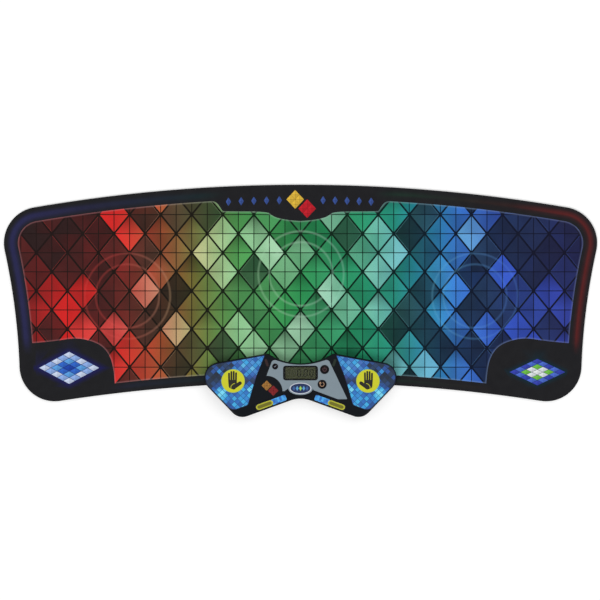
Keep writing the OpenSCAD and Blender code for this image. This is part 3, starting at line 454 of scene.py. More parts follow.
def cell_at(x, y):
    """The lattice place of the diamond at a point, and the way from its middle."""
    across, along = x / (2 * half_wide), (y - lattice_y) / (2 * half_tall)
    i, j = round(across + along), round(across - along)
    mx, my = cell_middle(i, j)
    return i, j, x - mx, y - my


def cell_tone(i, j):
    """How bright a diamond is printed, and which of its facets catch the light.

    The same diamond always gets the same answer. Fewer are lit at the sides, in the rear corners
    and within the two outer guide rings.
    """
    mx, my = cell_middle(i, j)
    dice = random.Random(f"{i},{j}")
    lit_share = 0.95 - 0.5 * ease(95, 140, abs(mx)) + 0.19 * ease(170, 230, abs(mx))
    corner = ease(225, 300, abs(mx) + 0.25 * my) * ease(10, 70, my)
    lit_share *= 1 - 0.95 * corner
    if min(math.hypot(mx - cx, my - cy) for cx, cy in (ring_places[0], ring_places[2])) < ring_dim_reach:
        lit_share = 0.2
    lit = dice.random() < lit_share
    if lit:
        level = dice.uniform(0.45, 0.98)
    else:
        level = dice.uniform(0.0, 0.07) + (0.18 if dice.random() < 0.15 else 0)
        level *= 1 - 0.85 * corner
    if lit and dice.random() < 0.34 * (1 - 0.7 * ease(90, 200, abs(mx))):
        pale = dice.uniform(0.25, 0.85)
    else:
        pale = dice.uniform(0, 0.08)
    way = dice.uniform(0, 2 * math.pi)
    steps = [dice.uniform(-0.12, 0.12) for _ in range(4)]
    return lit, level, pale, way, steps, dice.random()


def diamond(x, y, wide, tall):
    """A diamond from its middle, half width and half height."""
    return [(x + wide, y), (x, y + tall), (x - wide, y), (x, y - tall)]


def medallion(x, y, step_x, step_y, tones):
    """Rows of small diamonds that make up a large one, with two tones to a round from its middle."""
    share = 0.93
    return [(x + (i + j) * step_x, y + (i - j) * step_y, share * step_x, share * step_y,
             tones[max(abs(i), abs(j))][(i + j) % 2])
            for i in range(-2, 3) for j in range(-2, 3)]


# The medallion in each lobe: its middle, half width and half height, its halo, and its tones
lobes = [
    (-327.5, -95.0, 43.0, 23.0, screen(0.11, 0.11, 0.33),
     (screen(0.13, 0.27, 0.66),) * 2,
     (screen(0.36, 0.62, 0.88), screen(0.2, 0.4, 0.78)),
     (screen(0.78, 0.83, 0.93), screen(0.56, 0.68, 0.9))),
    (335.4, -101.0, 40.0, 19.0, screen(0.07, 0.16, 0.2),
     (screen(0.9, 0.92, 0.92),) * 2,
     (screen(0.44, 0.74, 0.28), screen(0.86, 0.89, 0.9)),
     (screen(0.22, 0.27, 0.68), screen(0.3, 0.42, 0.8)))]
halo_reach = 1.42
marks, halo_lines = [], []
for lx, ly, wide, tall, halo, *tones in lobes:
    marks += medallion(lx, ly, wide / 5, tall / 5, tones)
    for r in (1.1, 1.25, halo_reach):
        halo_lines.append(smooth_loop(diamond(lx, ly, wide * r, tall * r) + [(lx + wide * r, ly)], 2))
mark_lines = [[(x, y), (x + sx * w, y), (x, y + sy * h)] for x, y, w, h, _ in marks for sx, sy in quarters]


def facet_tone(tone, left, rear):
    """A diamond's tone on one of its facets, which are lighter to the left and the rear."""
    return tuple(c * (0.78 + 0.16 * left + 0.12 * rear) for c in tone)


def mark_ink(middle, x, y):
    """The colour in the black parts.

    It is a small diamond's, with its right side in the shade, or the soft light round a medallion.
    """
    for mx, my, w, h, tone in marks:
        dx, dy = middle[0] - mx, middle[1] - my
        if abs(dx) / w + abs(dy) / h < 1:
            return facet_tone(tone, dx < 0, dy > 0)
    for lx, ly, wide, tall, halo, *_ in lobes:
        far = abs(x - lx) / wide + abs(y - ly) / tall
        if far < halo_reach:
            return mix(halo, border_black, ease(0.95, halo_reach, far))
    return border_black


def cloth_ink(middle, zone, x, y, margin):
    """The print's colour at x, y, for a patch whose middle and zone are given.

    margin is how far x, y is from the black.
    """
    if zone >= 0:
        return mark_ink(middle, x, y)
    i, j, dx, dy = cell_at(*middle)
    lit, level, pale, way, steps, lot = cell_tone(i, j)
    reach = abs(dx) / half_wide + abs(dy) / half_tall
    groove, dark, light_tone = (blend_stops(stops, x) for stops in (groove_stops, dark_stops, pale_stops))
    if reach > 1 - groove_share or abs(dx) < facet_groove or abs(dy) < facet_groove:
        colour = groove
    elif not lit and lot < 0.5 and reach > 1 - groove_share * hair and (dx > 0) == (lot < 0.25):
        colour = mix(dark, light_tone, 0.34)
    else:
        facet = (0 if dx > 0 else 1) + (0 if dy > 0 else 2)
        mx, my = middle[0] - dx, middle[1] - dy
        from_middle = abs(x - mx) / half_wide + abs(y - my) / half_tall
        slope = math.cos(math.atan2(y - my, x - mx) - way)
        light = level + (steps[facet] + 0.1 * slope) * (1 if lit else 0.3)
        light += 0.1 * (from_middle - 0.5) * level
        colour = mix(dark, blend_stops(bright_stops, x), min(max(light, 0), 1.1))
        colour = mix(colour, light_tone, min(max(pale * (1 + 0.25 * slope + steps[facet]), 0), 1))
        if lit and lot > 0.66 and y > my:
            colour = mix(colour, groove, 0.75 * ((y - my) / half_tall) ** 1.3)
    glow = max(1 - abs(math.hypot(x - cx, y - cy) - size) / ring_blur
               for cx, cy in ring_places for size in ring_sizes)
    colour = mix(colour, light_tone, (0.26 - 0.08 * ease(100, 200, abs(x))) * max(glow, 0))
    rim_tone = mix(light_tone, screen(0.62, 0.62, 0.66), 0.5)
    return mix(colour, rim_tone, 0.36 * max(1 - margin / edge_glow, 0))


# The rings of the black rim, from the cut edge inwards: how far in each is, as a share of the rim
# and in mm, its height, and how strong the soft line is on it in the left and the right half
rim_rings = [
    (0, 0, 2.6, 0, 0), (0, 0, 2.84, 0, 0), (0, 0.12, 2.96, 0, 0), (0, 0.4, 3.0, 0, 0),
    (0.2, 0, 3.0, 0, 0.1), (0.35, 0, 3.0, 0.25, 0.5), (0.5, 0, 3.0, 0.8, 0.9),
    (0.65, 0, 3.0, 0.8, 0.2), (0.85, 0, 3.0, 0.3, 0), (1.0, 0, 3.0, 0, 0)]


def cloth_edge_ink(ring, x, y):
    """The rim's colour on one of its rings: black, with the soft line in the middle.

    The line is narrower on the right, and fades out at the banner and towards the front.
    """
    left_half, right_half = rim_rings[ring][3:]
    strength = left_half + (right_half - left_half) * ease(60, 160, x)
    if y > 100:
        strength *= ease(100, 150, abs(x))
    if y < -55:
        strength *= 0.8 * ease(-75, -55, y) if abs(x) > 300 else 0.6 * (1 - ease(240, 275, abs(x)))
    return mix(border_black, blend_stops(line_stops, x), strength)


facets = []
for i in range(-18, 19):
    for j in range(-18, 19):
        mx, my = cell_middle(i, j)
        if abs(mx) > 415 or not -130 < my < 165:
            continue
        for sx, sy in quarters:
            for depth in (groove_share, groove_share * hair):
                long_x = half_wide * (1 - depth - facet_groove / half_tall)
                long_y = half_tall * (1 - depth - facet_groove / half_wide)
                near_x, near_y = mx + sx * facet_groove, my + sy * facet_groove
                facets.append([(near_x, near_y), (mx + sx * long_x, near_y), (near_x, my + sy * long_y)])
rings_drawn = [arc(c, size + d, 0, 360, 72)[:-1]
               for c in ring_places for size in ring_sizes for d in (-ring_blur, 0, ring_blur)]
dark_zones = [banner, left_bay, right_bay]
glow_lines = [mat_edge(1.0, edge_glow)] + [beside(zone, edge_glow) for zone in dark_zones]
cloth_print = finish(
    "printed_cloth", None, 0.85, grain=0.9, depth=0.03, tone=0.07, gloss=0.1, printed=True, weave=0.6)
mat_cloth = printed_plate(
    "printed_cloth", [(mat_edge(share, back), z) for share, back, z, *_ in rim_rings], dark_zones,
    facets + rings_drawn + glow_lines + mark_lines + halo_lines, cloth_edge_ink, cloth_ink, cloth_print)
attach(mat_cloth, "mat")
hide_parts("mat_cloth")


def flat_shapes(name, shapes, z, thick, stuff, tones=None):
    """Thin prints in mm, each a closed line raised by thick, in its own tone if there are tones."""
    corners, faces, colours = [], [], []
    for k, shape in enumerate(shapes):
        shape = shape if area_of(shape) > 0 else shape[::-1]
        base, count = len(corners), len(shape)
        corners += [(x / 1000, y / 1000, (z + lift) / 1000) for lift in (0, thick) for x, y in shape]
        faces += [list(range(base, base + count))[::-1], list(range(base + count, base + 2 * count))]
        faces += walls(base, count)
        colours += [tones[k]] * (6 * count) if tones else []
    piece = new_piece(name, corners, faces, stuff)
    if tones:
        paint_on(piece, colours)
    return piece


def faceted(marks):
    """The four facets of each diamond (x, y, half width, half height, tone), and their tones."""
    shapes, tones, apart = [], [], 0.1
    for x, y, w, h, tone in marks:
        for sx, sy in quarters:
            cx, cy = x + apart * sx, y + apart * sy
            shapes.append([(cx, cy), (cx + sx * w, cy), (cx, cy + sy * h)])
            tones.append(facet_tone(tone, sx < 0, sy > 0))
    return shapes, tones


def group_of_four(x, y, step_x, step_y, *form):
    """Four diamonds of one form round a middle, as faceted takes them."""
    return [(x + a * step_x, y + b * step_y, *form) for a, b in ((0, 1), (0, -1), (1, 0), (-1, 0))]


# The rear border carries a bowed row of slate diamonds, with an amber and a red group in its middle
slate, amber, signal_red = screen(0.23, 0.33, 0.6), screen(0.88, 0.72, 0.25), screen(0.76, 0.12, 0.17)
border_marks = [(x, 142.5 - x * x / (2 * bow_r), 3.6, 5.8, slate)
                for x in (-102, -84, -66, -48, -30, 32, 49, 66, 83, 100)]
border_marks += group_of_four(-7.5, 143.5, 6.3, 6.7, 6.0, 6.4, amber)
border_marks += group_of_four(9.5, 130.5, 6.3, 6.7, 6.0, 6.4, signal_red)
border_shapes, border_tones = faceted(border_marks)
border_print = finish(
    "rear_border_print", None, 0.8, grain=0.9, depth=0.04, tone=0.08, gloss=0.1, printed=True)
banner_print = flat_shapes("rear_border_print", border_shapes, 3.0, 0.03, border_print, border_tones)
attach(banner_print, "mat")


# --- Snap studs of the mat ---
# Two moulded black studs, pressed through the mat near its front edge. Their heads hold the
# timer, which pulls straight up off them.
dress("mat_snap_studs", finish("stud_plastic", (0.12, 0.12, 0.13), 0.4, grain=0.6, depth=0.01))


# --- Lower housing, its feet and its screws ---
# An injection-moulded black shell with a fine spark-eroded texture. Six rubber feet are glued
# into it in front of the mat, and screws from below hold it to the upper shell.
housing_plastic = finish(
    "housing_plastic", (0.05, 0.065, 0.085), 0.5, grain=0.45, depth=0.035, tone=0.2, gloss=0.06)
dress("lower_housing", housing_plastic)
dress("rubber_feet", finish(
    "foot_rubber", (0.16, 0.16, 0.16), 0.8, grain=0.3, depth=0.05, tone=0.2, gloss=0.3))
zinc_steel = finish("zinc_steel", (0.72, 0.73, 0.75), 0.35, grain=0.8, depth=0.01, tone=0.1, metallic=1.0)
dress("housing_screws", zinc_steel)


# --- Circuit board and what is soldered to it ---
# A green glass-fibre board, screwed under the roof of the upper shell. It carries the
# controller chips, a quartz crystal in a drawn can, three key switches and two lights.
dress("circuit_board", finish(
    "solder_mask", (0.07, 0.33, 0.17), 0.35, grain=1.6, depth=0.02, tone=0.18, coat=0.4))
dress("controller_chips", finish("chip_resin", (0.1, 0.1, 0.1), 0.55, grain=0.25, depth=0.02))
dress("quartz_can", finish(
    "drawn_can", (0.78, 0.78, 0.77), 0.25, grain=1.2, depth=0.005, tone=0.06, metallic=1.0))
dress("switch_bodies", finish("switch_plastic", (0.14, 0.14, 0.15), 0.5, grain=0.3))
dress("status_leds", finish("led_resin", (0.86, 0.84, 0.8), 0.2, grain=2.0, depth=0.0, tone=0.04, coat=0.5))
dress("board_screws", zinc_steel)
plunger_plastic = finish("plunger_plastic", (0.88, 0.87, 0.84), 0.45, grain=0.5, tone=0.05)
for key in ("power", "clear", "mode"):
    dress(key + "_switch_plunger", plunger_plastic)
dress("data_socket", finish("socket_plastic", (0.11, 0.11, 0.11), 0.45, grain=0.5))


# --- Batteries, their contacts and their door ---
# Two small cells lie side by side, head to tail, in a bay on the underside, between sprung and flat
# nickel-plated contacts wired to the board. A moulded door turns on a pin at its rear edge.
cell_jacket = finish(
    "cell_jacket", (0.72, 0.55, 0.2), 0.3, grain=3.0, depth=0.004, tone=0.08, metallic=0.4, coat=0.5)
dress("battery_cells", cell_jacket)


def two_tone(stuff, colour, low, high, share):
    """Gives the flat ends of two rods that lie head to tail another colour.

    low and high are the corners of the box round both rods, and share is how much of their length
    the colour takes.
    """
    tree = stuff.node_tree
    tint = tree.nodes["Mix"]
    place = tree.nodes.new("ShaderNodeTexCoord").outputs["Object"]
    spot = add_node(tree, "ShaderNodeSeparateXYZ", {0: place})
    along = add_maths(tree, "SUBTRACT", spot.outputs["X"], (low[0] + high[0]) / 2)
    across = add_maths(tree, "SUBTRACT", spot.outputs["Y"], (low[1] + high[1]) / 2)
    turned_about = add_maths(tree, "MULTIPLY", add_maths(tree, "SIGN", across), along)
    flat_end = add_maths(tree, "LESS_THAN", turned_about, (share - 0.5) * (high[0] - low[0]))
    own_colour = tint.inputs["A"].default_value
    feed(tree, tint, {"A": add_mix(tree, "MIX", flat_end, own_colour, (*screen(*colour), 1))})


two_tone(cell_jacket, (0.07, 0.07, 0.08), *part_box("battery_cells"), 0.68)
nickel = finish("nickel_plate", (0.8, 0.79, 0.76), 0.28, grain=0.7, depth=0.006, tone=0.08, metallic=1.0)
dress("battery_springs", nickel)
dress("battery_plates", nickel)
dress("battery_lead_positive", finish("red_sleeve", (0.7, 0.08, 0.06), 0.4, grain=0.8, tone=0.08))
dress("battery_lead_negative", finish("black_sleeve", (0.09, 0.09, 0.09), 0.4, grain=0.8, tone=0.12))
dress("battery_door", housing_plastic)


# --- Upper housing and status windows ---
# The upper black shell: a flat top with the same fine texture, and a smooth slope along the two
# front edges. A smoked red and a smoked green window beside the horns cover the status lights.
dress("upper_housing", housing_plastic)
for window, stain, colour in (
        ("left_status_window", "smoked_red", (0.15, 0.035, 0.04)),
        ("right_status_window", "smoked_green", (0.03, 0.11, 0.055))):
    dress(window, finish(stain, colour, 0.15, grain=2.5, depth=0.0, tone=0.1, gloss=0.25, coat=0.1))


# --- Face panel ---
# A silver-grey printed film plate, set on the top between the pads, with openings for the
# display, the three buttons and the round bay. Its tongue at the front carries an oval badge.
timer_y = -74.303
dress("face_panel", finish(
    "panel_silver", (0.465, 0.52, 0.555), 0.42, grain=0.5, depth=0.012, tone=0.1, metallic=0.2, gloss=0.3,
    coat=0.05))


def ellipse(x, y, wide, tall, steps=64):
    """An ellipse from its middle, half width and half height, as a closed line."""
    turn = [2 * math.pi * k / steps for k in range(steps)]
    return [(x + wide * math.cos(a), y + tall * math.sin(a)) for a in turn]


# The badge: its middle, its underside, and the rings from there up to its face. Then its tones, for
# the edge, the oval and the five diamonds from left to right.
badge_x, badge_y, badge_z = 0.0, timer_y - 49.3, 22.2
badge_outline = ellipse(badge_x, badge_y, 15.4, 7.9)
badge_rings = [
    (badge_outline, badge_z), (badge_outline, badge_z + 0.1),
    (ellipse(badge_x, badge_y, 15.2, 7.7), badge_z + 0.15)]
badge_zones = [ellipse(badge_x, badge_y, 14.1, 6.9)]
badge_zones += [diamond(badge_x + 4.6 * k, badge_y, 2.0, 3.4) for k in range(-2, 3)]
silver, navy, steel = screen(0.8, 0.82, 0.86), screen(0.1, 0.17, 0.33), screen(0.2, 0.36, 0.58)
sky_blue, lime = screen(0.36, 0.62, 0.82), screen(0.62, 0.8, 0.34)
badge_tones = [silver, navy, steel, sky_blue, lime, sky_blue, steel]


def badge_ink(middle, zone, *_):
    """A badge zone's colour, or the silver border's."""
    return badge_tones[zone + 1]


printed_film = finish(
    "printed_film", None, 0.35, grain=0.6, depth=0.006, tone=0.06, gloss=0.2, coat=0.06, printed=True)
badge = printed_plate("oval_badge", badge_rings, badge_zones, [], plain_edge(silver), badge_ink, printed_film)
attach(badge, "timer")

# Diamonds printed in the round bay, in amber and red
bay_marks = group_of_four(-47.6, timer_y - 45.4, 3.7, 3.7, 3.4, 3.4, screen(0.64, 0.44, 0.18))
bay_marks += group_of_four(-38.4, timer_y - 52.6, 3.7, 3.7, 3.4, 3.4, screen(0.52, 0.07, 0.09))
bay_shapes, bay_tones = faceted(bay_marks)
bay_print = flat_shapes("bay_print", bay_shapes, 22.0, 0.05, printed_film, bay_tones)
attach(bay_print, "timer")


# --- Display ---
# A small reflective liquid-crystal cell in a white holder, with rubber strips down to the board.
# A clear window with a black printed frame covers it. The digits read zero.
dress("display_mask", finish("mask_ink", (0.05, 0.055, 0.06), 0.35, grain=0.8, tone=0.08, gloss=0.12))
dress("display_glass", finish(
    "display_cell", (0.31, 0.33, 0.22), 0.4, grain=2.2, depth=0.0, tone=0.035, gloss=0.15))
dress("display_holder", finish("holder_plastic", (0.85, 0.85, 0.82), 0.5, grain=0.5, tone=0.04))
dress("connector_strips", finish("strip_rubber", (0.3, 0.3, 0.32), 0.7, grain=0.2, tone=0.2))
clear_window = finish("clear_window", (0.16, 0.17, 0.16), 0.06, grain=3.0, depth=0.0, tone=0.03, gloss=0.2)
clear_window.node_tree.nodes["Principled BSDF"].inputs["Alpha"].default_value = 0.14
dress("display_window", clear_window)

# The digits in mm: their size, lean and places, and the bars lit in each
digit_h, digit_w, stroke, digit_lean = 10.6, 5.7, 1.35, 0.06
digit_z, digit_y = 20.0, timer_y - 27.65
digit_places = (-20.2, -12.5, -5.0, 4.0, 12.4)
point_x = 2.4
lit_bars = ("", "", "abcdef", "abcdef", "abcdef")


def digit_bars(x):
    """The seven bars of the digit whose lower left corner is at x."""
    h, w, s, m = digit_h, digit_w, stroke, digit_h / 2
    bars = {
        "a": [(s * 0.6, h), (w - s * 0.6, h), (w - s * 1.3, h - s), (s * 1.3, h - s)],
        "d": [(s * 0.6, 0), (s * 1.3, s), (w - s * 1.3, s), (w - s * 0.6, 0)],
        "g": [(s * 0.7, m), (s * 1.3, m + s / 2), (w - s * 1.3, m + s / 2), (w - s * 0.7, m),
              (w - s * 1.3, m - s / 2), (s * 1.3, m - s / 2)],
        "f": [(0, h - s * 0.6), (s, h - s * 1.3), (s, m + s * 0.7), (s * 0.5, m + s * 0.2), (0, m + s * 0.4)],
        "e": [(0, s * 0.6), (0, m - s * 0.4), (s * 0.5, m - s * 0.2), (s, m - s * 0.7), (s, s * 1.3)]}
    bars["b"] = [(w - px, py) for px, py in bars["f"]]
    bars["c"] = [(w - px, py) for px, py in bars["e"]]
    base = digit_y - digit_h / 2
    return {k: [(x + px + py * digit_lean, base + py) for px, py in bar] for k, bar in bars.items()}


unlit, lit = [], []
for place, shown in zip(digit_places, lit_bars):
    for bar, line in digit_bars(place).items():
        (lit if bar in shown else unlit).append(line)
lit.append(ellipse(point_x, digit_y - digit_h / 2 + 0.7, 0.65, 0.65, 12))
for name, bars, thick, ink, colour in (
        ("display_digits", lit, 0.05, "segment_on", (0.055, 0.06, 0.05)),
        ("display_unlit_bars", unlit, 0.03, "segment_off", (0.255, 0.27, 0.185))):
    segment = finish(ink, colour, 0.4, grain=2.0, depth=0.0, tone=0.03, gloss=0.15)
    piece = flat_shapes(name, bars, digit_z, thick, segment)
    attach(piece, "timer")


# --- Buttons ---
# Three moulded caps with a rounded rim and a slightly dished top, on a flange under the roof.
# Each has a plain printed sign: a broken ring with a bar, a ring with an arrow head, and a tick.
def turned(name, x, y, profile, stuff, steps=64):
    """A piece turned about the upright line at x, y.

    profile is its (radius, z) points in mm, the first and the last on the axis.
    """
    corners = [(x, y, profile[0][1])]
    for r, z in profile[1:-1]:
        corners += [(*p, z) for p in ellipse(x, y, r, r, steps)]
    corners.append((x, y, profile[-1][1]))
    faces = [[0, 1 + (k + 1) % steps, 1 + k] for k in range(steps)]
    faces += walls(1, steps, len(profile) - 2)
    last = len(corners) - 1
    faces += [[last - steps + k, last - steps + (k + 1) % steps, last] for k in range(steps)]
    piece = new_piece(name, [(a / 1000, b / 1000, c / 1000) for a, b, c in corners], faces, stuff)
    smooth(piece, 35)
    return piece


def ring_band(x, y, inner, outer, start, end, steps=30):
    """A flat band of a ring between two angles in degrees, as a closed line."""
    return arc((x, y), outer, start, end, steps) + arc((x, y), inner, end, start, steps)


def placed_at(points, place):
    """Points moved so that their origin lies at a place."""
    return [(place[0] + x, place[1] + y) for x, y in points]


cap_plastic = finish("cap_plastic", (0.05, 0.04, 0.055), 0.35, grain=0.6, depth=0.008, tone=0.1, gloss=0.06)
# The caps in mm: their levels, radii and places
cap_bottom, flange_top, cap_top = 19.1, 20.0, 23.1
flange_rim, dish = 0.85, 0.12
large_r, small_r = 6.15, 4.0
power_at, clear_at, mode_at = (34.0, timer_y - 22.65), (30.5, timer_y - 43.55), (-35.8, timer_y - 18.4)
power_sign = [ring_band(*power_at, 2.1, 2.9, 120, 420),
              placed_at([(-0.4, 0.4), (0.4, 0.4), (0.4, 3.4), (-0.4, 3.4)], power_at)]
clear_sign = [ring_band(*clear_at, 2.45, 3.15, 145, 430),
              placed_at([(-3.9, 0.6), (-0.7, 1.3), (-3.1, 3.7)], clear_at)]
mode_sign = [placed_at(
    [(-1.5, -0.1), (-0.5, -1.3), (1.7, 1.3), (1.2, 1.6), (-0.45, -0.35), (-1.1, 0.4)], mode_at)]
for button, place, radius, sign, sign_colour in (
        ("power_button", power_at, large_r, power_sign, (0.24, 0.06, 0.1)),
        ("clear_button", clear_at, large_r, clear_sign, (0.74, 0.58, 0.44)),
        ("mode_button", mode_at, small_r, mode_sign, (0.5, 0.54, 0.6))):
    cap = turned(button + "_cap", *place, [
        (0, cap_bottom), (radius + flange_rim, cap_bottom), (radius + flange_rim, flange_top),
        (radius, flange_top), (radius, cap_top - 0.5), (radius - 0.12, cap_top - 0.2),
        (radius - 0.45, cap_top), (radius - 0.9, cap_top), (radius - 1.3, cap_top - 0.1),
        (0, cap_top - dish)], cap_plastic)
    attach(cap, button)
    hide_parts(button)
    sign_ink = finish(button + "_ink", sign_colour, 0.4, grain=0.5, tone=0.06)
    mark = flat_shapes(button + "_sign", sign, cap_top - dish, 0.06, sign_ink)
    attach(mark, button)


# --- Touch pads, their foils and leads ---
# Each pad is a plate of printed film over a copper foil, which senses the hand through it. The
# print is of small blue squares in a navy rim, with a yellow disc that shows an open hand.
def between(corners, by):
    """Corners [x, y, radius] moved in by so many mm; the radius of a hollow one grows."""
    moved = []
    for i, (x, y, r) in enumerate(corners):
        (px, py, _), (nx, ny, _) = corners[i - 1], corners[(i + 1) % len(corners)]
        u, v = Vector((x - px, y - py)).normalized(), Vector((nx - x, ny - y)).normalized()
        a, b = Vector((x - by * u.y, y + by * u.x)), Vector((x - by * v.y, y + by * v.x))
        turn = u.x * v.y - u.y * v.x
        along = ((b - a).x * v.y - (b - a).y * v.x) / turn
        moved.append((a.x + u.x * along, a.y + u.y * along, max(r - by, 0.4) if turn > 0 else r + by))
    return moved


def rounded(corners, steps=14):
    """The outline of corners [x, y, radius], each rounded."""
    outline = []
    for i, (x, y, r) in enumerate(corners):
        (px, py, _), (nx, ny, _) = corners[i - 1], corners[(i + 1) % len(corners)]
        u, v = Vector((px - x, py - y)).normalized(), Vector((nx - x, ny - y)).normalized()
        half = math.acos(max(-1, min(1, u.dot(v)))) / 2
        middle = Vector((x, y)) + (u + v).normalized() * (r / math.sin(half))
        start, end = (Vector((x, y)) + way * (r / math.tan(half)) for way in (u, v))
        first = angle_to(middle, start)
        outline += arc(middle, r, first, first + (angle_to(middle, end) - first + 540) % 360 - 180, steps)
    return outline


def capsule(x0, y0, x1, y1, r, steps=8):
    """A bar with round ends from x0, y0 to x1, y1."""
    way = angle_to((x0, y0), (x1, y1))
    return arc((x1, y1), r, way - 90, way + 90, steps) + arc((x0, y0), r, way + 90, way + 270, steps)


# The left pad in mm, from the middle between the timer's horns. The right one is its mirror image.
pad_corners = [(-49.6, -2.09308, 1.2), (-153.996, -21.2244, 19.5), (-96.5462, -81.3939, 12),
               (-73.8, -73.1344, 6), (-62.2, -33.3, 105)]
pad_outline = rounded(pad_corners)
pad_rim = rounded(between(pad_corners, 0.9))
pad_rings = [(pad_outline, 21.0), (pad_outline, 22.15), (rounded(between(pad_corners, 0.12)), 22.42),
             (rounded(between(pad_corners, 0.45)), 22.57), (pad_rim, 22.6)]
disc_at, disc_r = (-95.2, -38.9), 16.6
disc = ellipse(*disc_at, disc_r, disc_r, 72)
disc_rim = ellipse(*disc_at, disc_r - 0.9, disc_r - 0.9, 72)

# The hand's parts, from a point just left of the disc's middle
hx, hy = disc_at[0] - 0.6, disc_at[1]
fingers = [capsule(hx + dx, hy + 0.5, hx + dx * 1.04, hy + top, 1.3)
           for dx, top in ((-4.9, 10.4), (-1.7, 12.7), (1.5, 12.9), (4.7, 11.0))]
palm = rounded([(hx - 6.3, hy + 1.6, 1.0), (hx - 5.4, hy - 9.4, 3.0), (hx + 3.7, hy - 13.2, 3.2),
                (hx + 5.9, hy - 5.0, 2.0), (hx + 6.0, hy + 1.6, 1.0)])
thumb = capsule(hx + 1.8, hy - 9.2, hx + 10.4, hy - 3.0, 2.5)
palm_line = ring_band(hx + 3.8, hy - 9.8, 5.8, 6.8, 95, 182, 14)
pad_zones = [pad_rim, disc, disc_rim, *fingers, palm, thumb, palm_line]

# The squares of the print, and half the line between two as a share of their pitch
square_pitch, square_gap, lean = 6.0, 0.7, math.radians(45)
half_line = square_gap / 2 / square_pitch
pad_navy, violet, hand_black = screen(0.06, 0.12, 0.26), screen(0.4, 0.36, 0.66), screen(0.1, 0.09, 0.06)
pad_yellow, disc_rim_green = screen(0.8, 0.8, 0.15), screen(0.62, 0.76, 0.3)
square_stops = [
    (0, 0.1, 0.15, 0.21), (0.2, 0.15, 0.24, 0.36), (0.4, 0.16, 0.34, 0.64),
    (0.6, 0.2, 0.49, 0.79), (0.85, 0.25, 0.68, 0.9), (1.1, 0.48, 0.85, 0.96)]


def square(a, b, pitch, inset=0.0):
    """The square at a place in a lattice, its sides moved in by a share of the pitch."""
    near, far = inset, 1 - inset
    ways = ((near, near), (far, near), (far, far), (near, far))
    return [((a + p) * pitch, (b + q) * pitch) for p, q in ways]


def square_at(x, y):
    """The lattice place of the square at a point, and whether it is on the line between two squares."""
    a = (x * math.cos(lean) + y * math.sin(lean)) / square_pitch
    b = (y * math.cos(lean) - x * math.sin(lean)) / square_pitch
    on_line = min(a % 1, b % 1, 1 - a % 1, 1 - b % 1) < half_line
    return math.floor(a), math.floor(b), on_line


def pad_ink(middle, zone, x, y, margin):
    """The colour of a pad's print: the zone's own, or the blue of a square.

    The squares are lighter in front, at the horn and at one place near the outer end.
    """
    if zone < 0:
        return pad_navy
    if zone == 1:
        return mix(pad_yellow, disc_rim_green, 0.7)
    if zone == 2:
        return pad_yellow
    if zone == len(pad_zones) - 1:
        return mix(pad_yellow, hand_black, 0.25)
    if zone > 2:
        return hand_black
    a, b, on_line = square_at(*middle)
    across, along = (x, y) if on_line else middle
    dice = random.Random(f"pad {a} {b}")
    front = 1 - ease(-58, -38, along)
    horn = ease(-104, -86, across) * ease(-48, -22, along)
    spot = math.exp(-((across + 112) / 9) ** 2 - ((along + 56) / 10) ** 2)
    light = 0.16 + 0.36 * front + 0.46 * horn + 0.5 * spot + 0.12 * ease(-100, -84, across) * front
    if on_line:
        return mix(blend_stops(square_stops, light), pad_navy, 0.6)
    light += dice.uniform(-0.24, 0.26) + (0.32 if dice.random() < 0.14 else 0)
    colour = mix(blend_stops(square_stops, light), violet, 0.35 * dice.random() ** 2 * horn)
    # Painted sheen: the squares' colour rises and falls by up to 5% in bands across x
    painted_sheen = math.cos((middle[0] * 1.7 + x * 3.1) * 0.5) * 0.05
    return tuple(c * (1 + painted_sheen) for c in colour)


squares = []
for a in range(-60, 61):
    for b in range(-60, 61):
        leaning = [(p * math.cos(lean) - q * math.sin(lean), p * math.sin(lean) + q * math.cos(lean))
                   for p, q in square(a, b, square_pitch, half_line)]
        if -142 < leaning[0][0] < -46 and -86 < leaning[0][1] < 2:
            squares.append(leaning)
pad_film = finish(
    "pad_film", None, 0.32, grain=0.7, depth=0.006, tone=0.06, gloss=0.2, coat=0.06, printed=True)
copper_foil = finish("copper_foil", (0.85, 0.55, 0.38), 0.3, grain=1.0, depth=0.01, tone=0.1, metallic=1.0)
tinned_wire = finish("tinned_wire", (0.75, 0.75, 0.72), 0.4, grain=0.8, tone=0.08)
for side, flip in (("left", 1), ("right", -1)):
    dress(side + "_sensor_foil", copper_foil)
    dress(side + "_sensor_lead", tinned_wire)
    lay = Matrix.Translation((0, timer_y, 0)) @ Matrix.Diagonal((flip, 1, 1, 1))
    pad = printed_plate(
        side + "_pad_plate", pad_rings, pad_zones, squares, plain_edge(pad_navy), pad_ink, pad_film, lay)
    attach(pad, "timer")
    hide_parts(side + "_touch_pad")


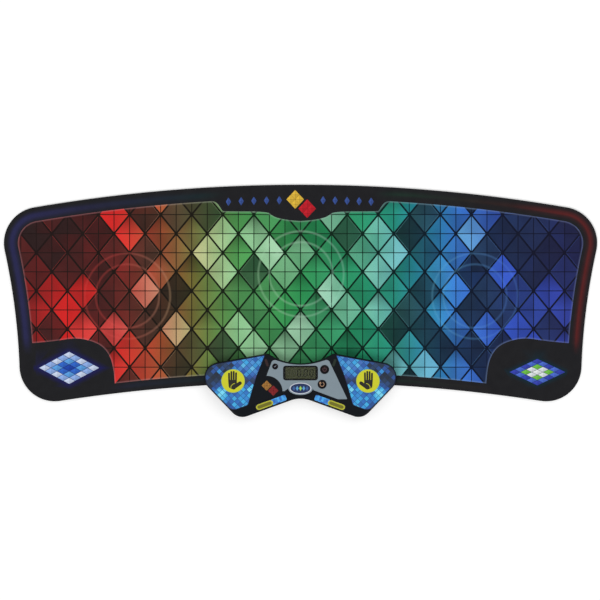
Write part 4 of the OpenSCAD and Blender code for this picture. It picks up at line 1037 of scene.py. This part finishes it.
# --- Front labels ---
# A printed label lies on each front slope: a yellow pill on its outer part, and blue squares like
# the pads' on the inner part, under one clear film.
def box_corners(x0, y0, x1, y1, r):
    """The corners of a rectangle with their radius, from its right front one round."""
    return [(x1, y0, r), (x1, y1, r), (x0, y1, r), (x0, y0, r)]


# The label in mm, with its own middle at 0, 0
label_square = 3.2
label_box = box_corners(-23.0, -5.5, 23.0, 5.5, 3.0)
label_outline = rounded(label_box, 8)
label_rings = [(label_outline, 0.0), (label_outline, 0.24), (rounded(between(label_box, 0.12), 8), 0.3)]
blue_part = rounded([(22.5, -5.0, 2.6), (22.5, 5.0, 2.6), (1.4, 5.0, 0.6), (1.4, -5.0, 0.6)], 6)
pill = rounded(box_corners(-22.4, -4.8, 2.9, 4.8, 4.7), 10)
pill_middle = rounded(box_corners(-20.4, -2.9, 0.9, 2.9, 2.8), 8)
label_zones = [blue_part, pill, pill_middle]
label_squares = [square(a, b, label_square) for a in range(0, 8) for b in range(-2, 2)]
label_black = screen(0.09, 0.1, 0.13)
pill_yellow, pill_olive = screen(0.71, 0.71, 0.19), screen(0.43, 0.42, 0.12)
label_stops = [(0, 0.14, 0.3, 0.7), (1, 0.32, 0.7, 0.95)]


def label_ink(middle, zone, *_):
    """The colour of a label's print: the zone's own, or the blue of a square."""
    if zone != 0:
        return (label_black, pill_yellow, pill_olive)[max(zone, 0)]
    a, b = (math.floor(v / label_square) for v in middle)
    dice = random.Random(f"label {a} {b}")
    return blend_stops(label_stops, dice.random())


# The left label's place: its middle, the way of the front edge, and the fall of the slope on its run
label_at, edge_way = (-41.6301, -69.4853 + timer_y, 17.5), math.atan2(0.341311, 0.939951)
slope_angle, label_lift = math.atan2(9.0, 13.5), 0.05
for side, flip in (("left", 1), ("right", -1)):
    lay = (Matrix.Diagonal((flip, 1, 1, 1)) @ Matrix.Translation(label_at) @ Matrix.Rotation(edge_way, 4, "Z")
           @ Matrix.Rotation(slope_angle, 4, "X") @ Matrix.Translation((0, 0, label_lift)))
    label = printed_plate(
        side + "_label", label_rings, label_zones, label_squares, plain_edge(label_black), label_ink,
        printed_film, lay)
    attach(label, "timer")
    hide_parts(side + "_front_label")
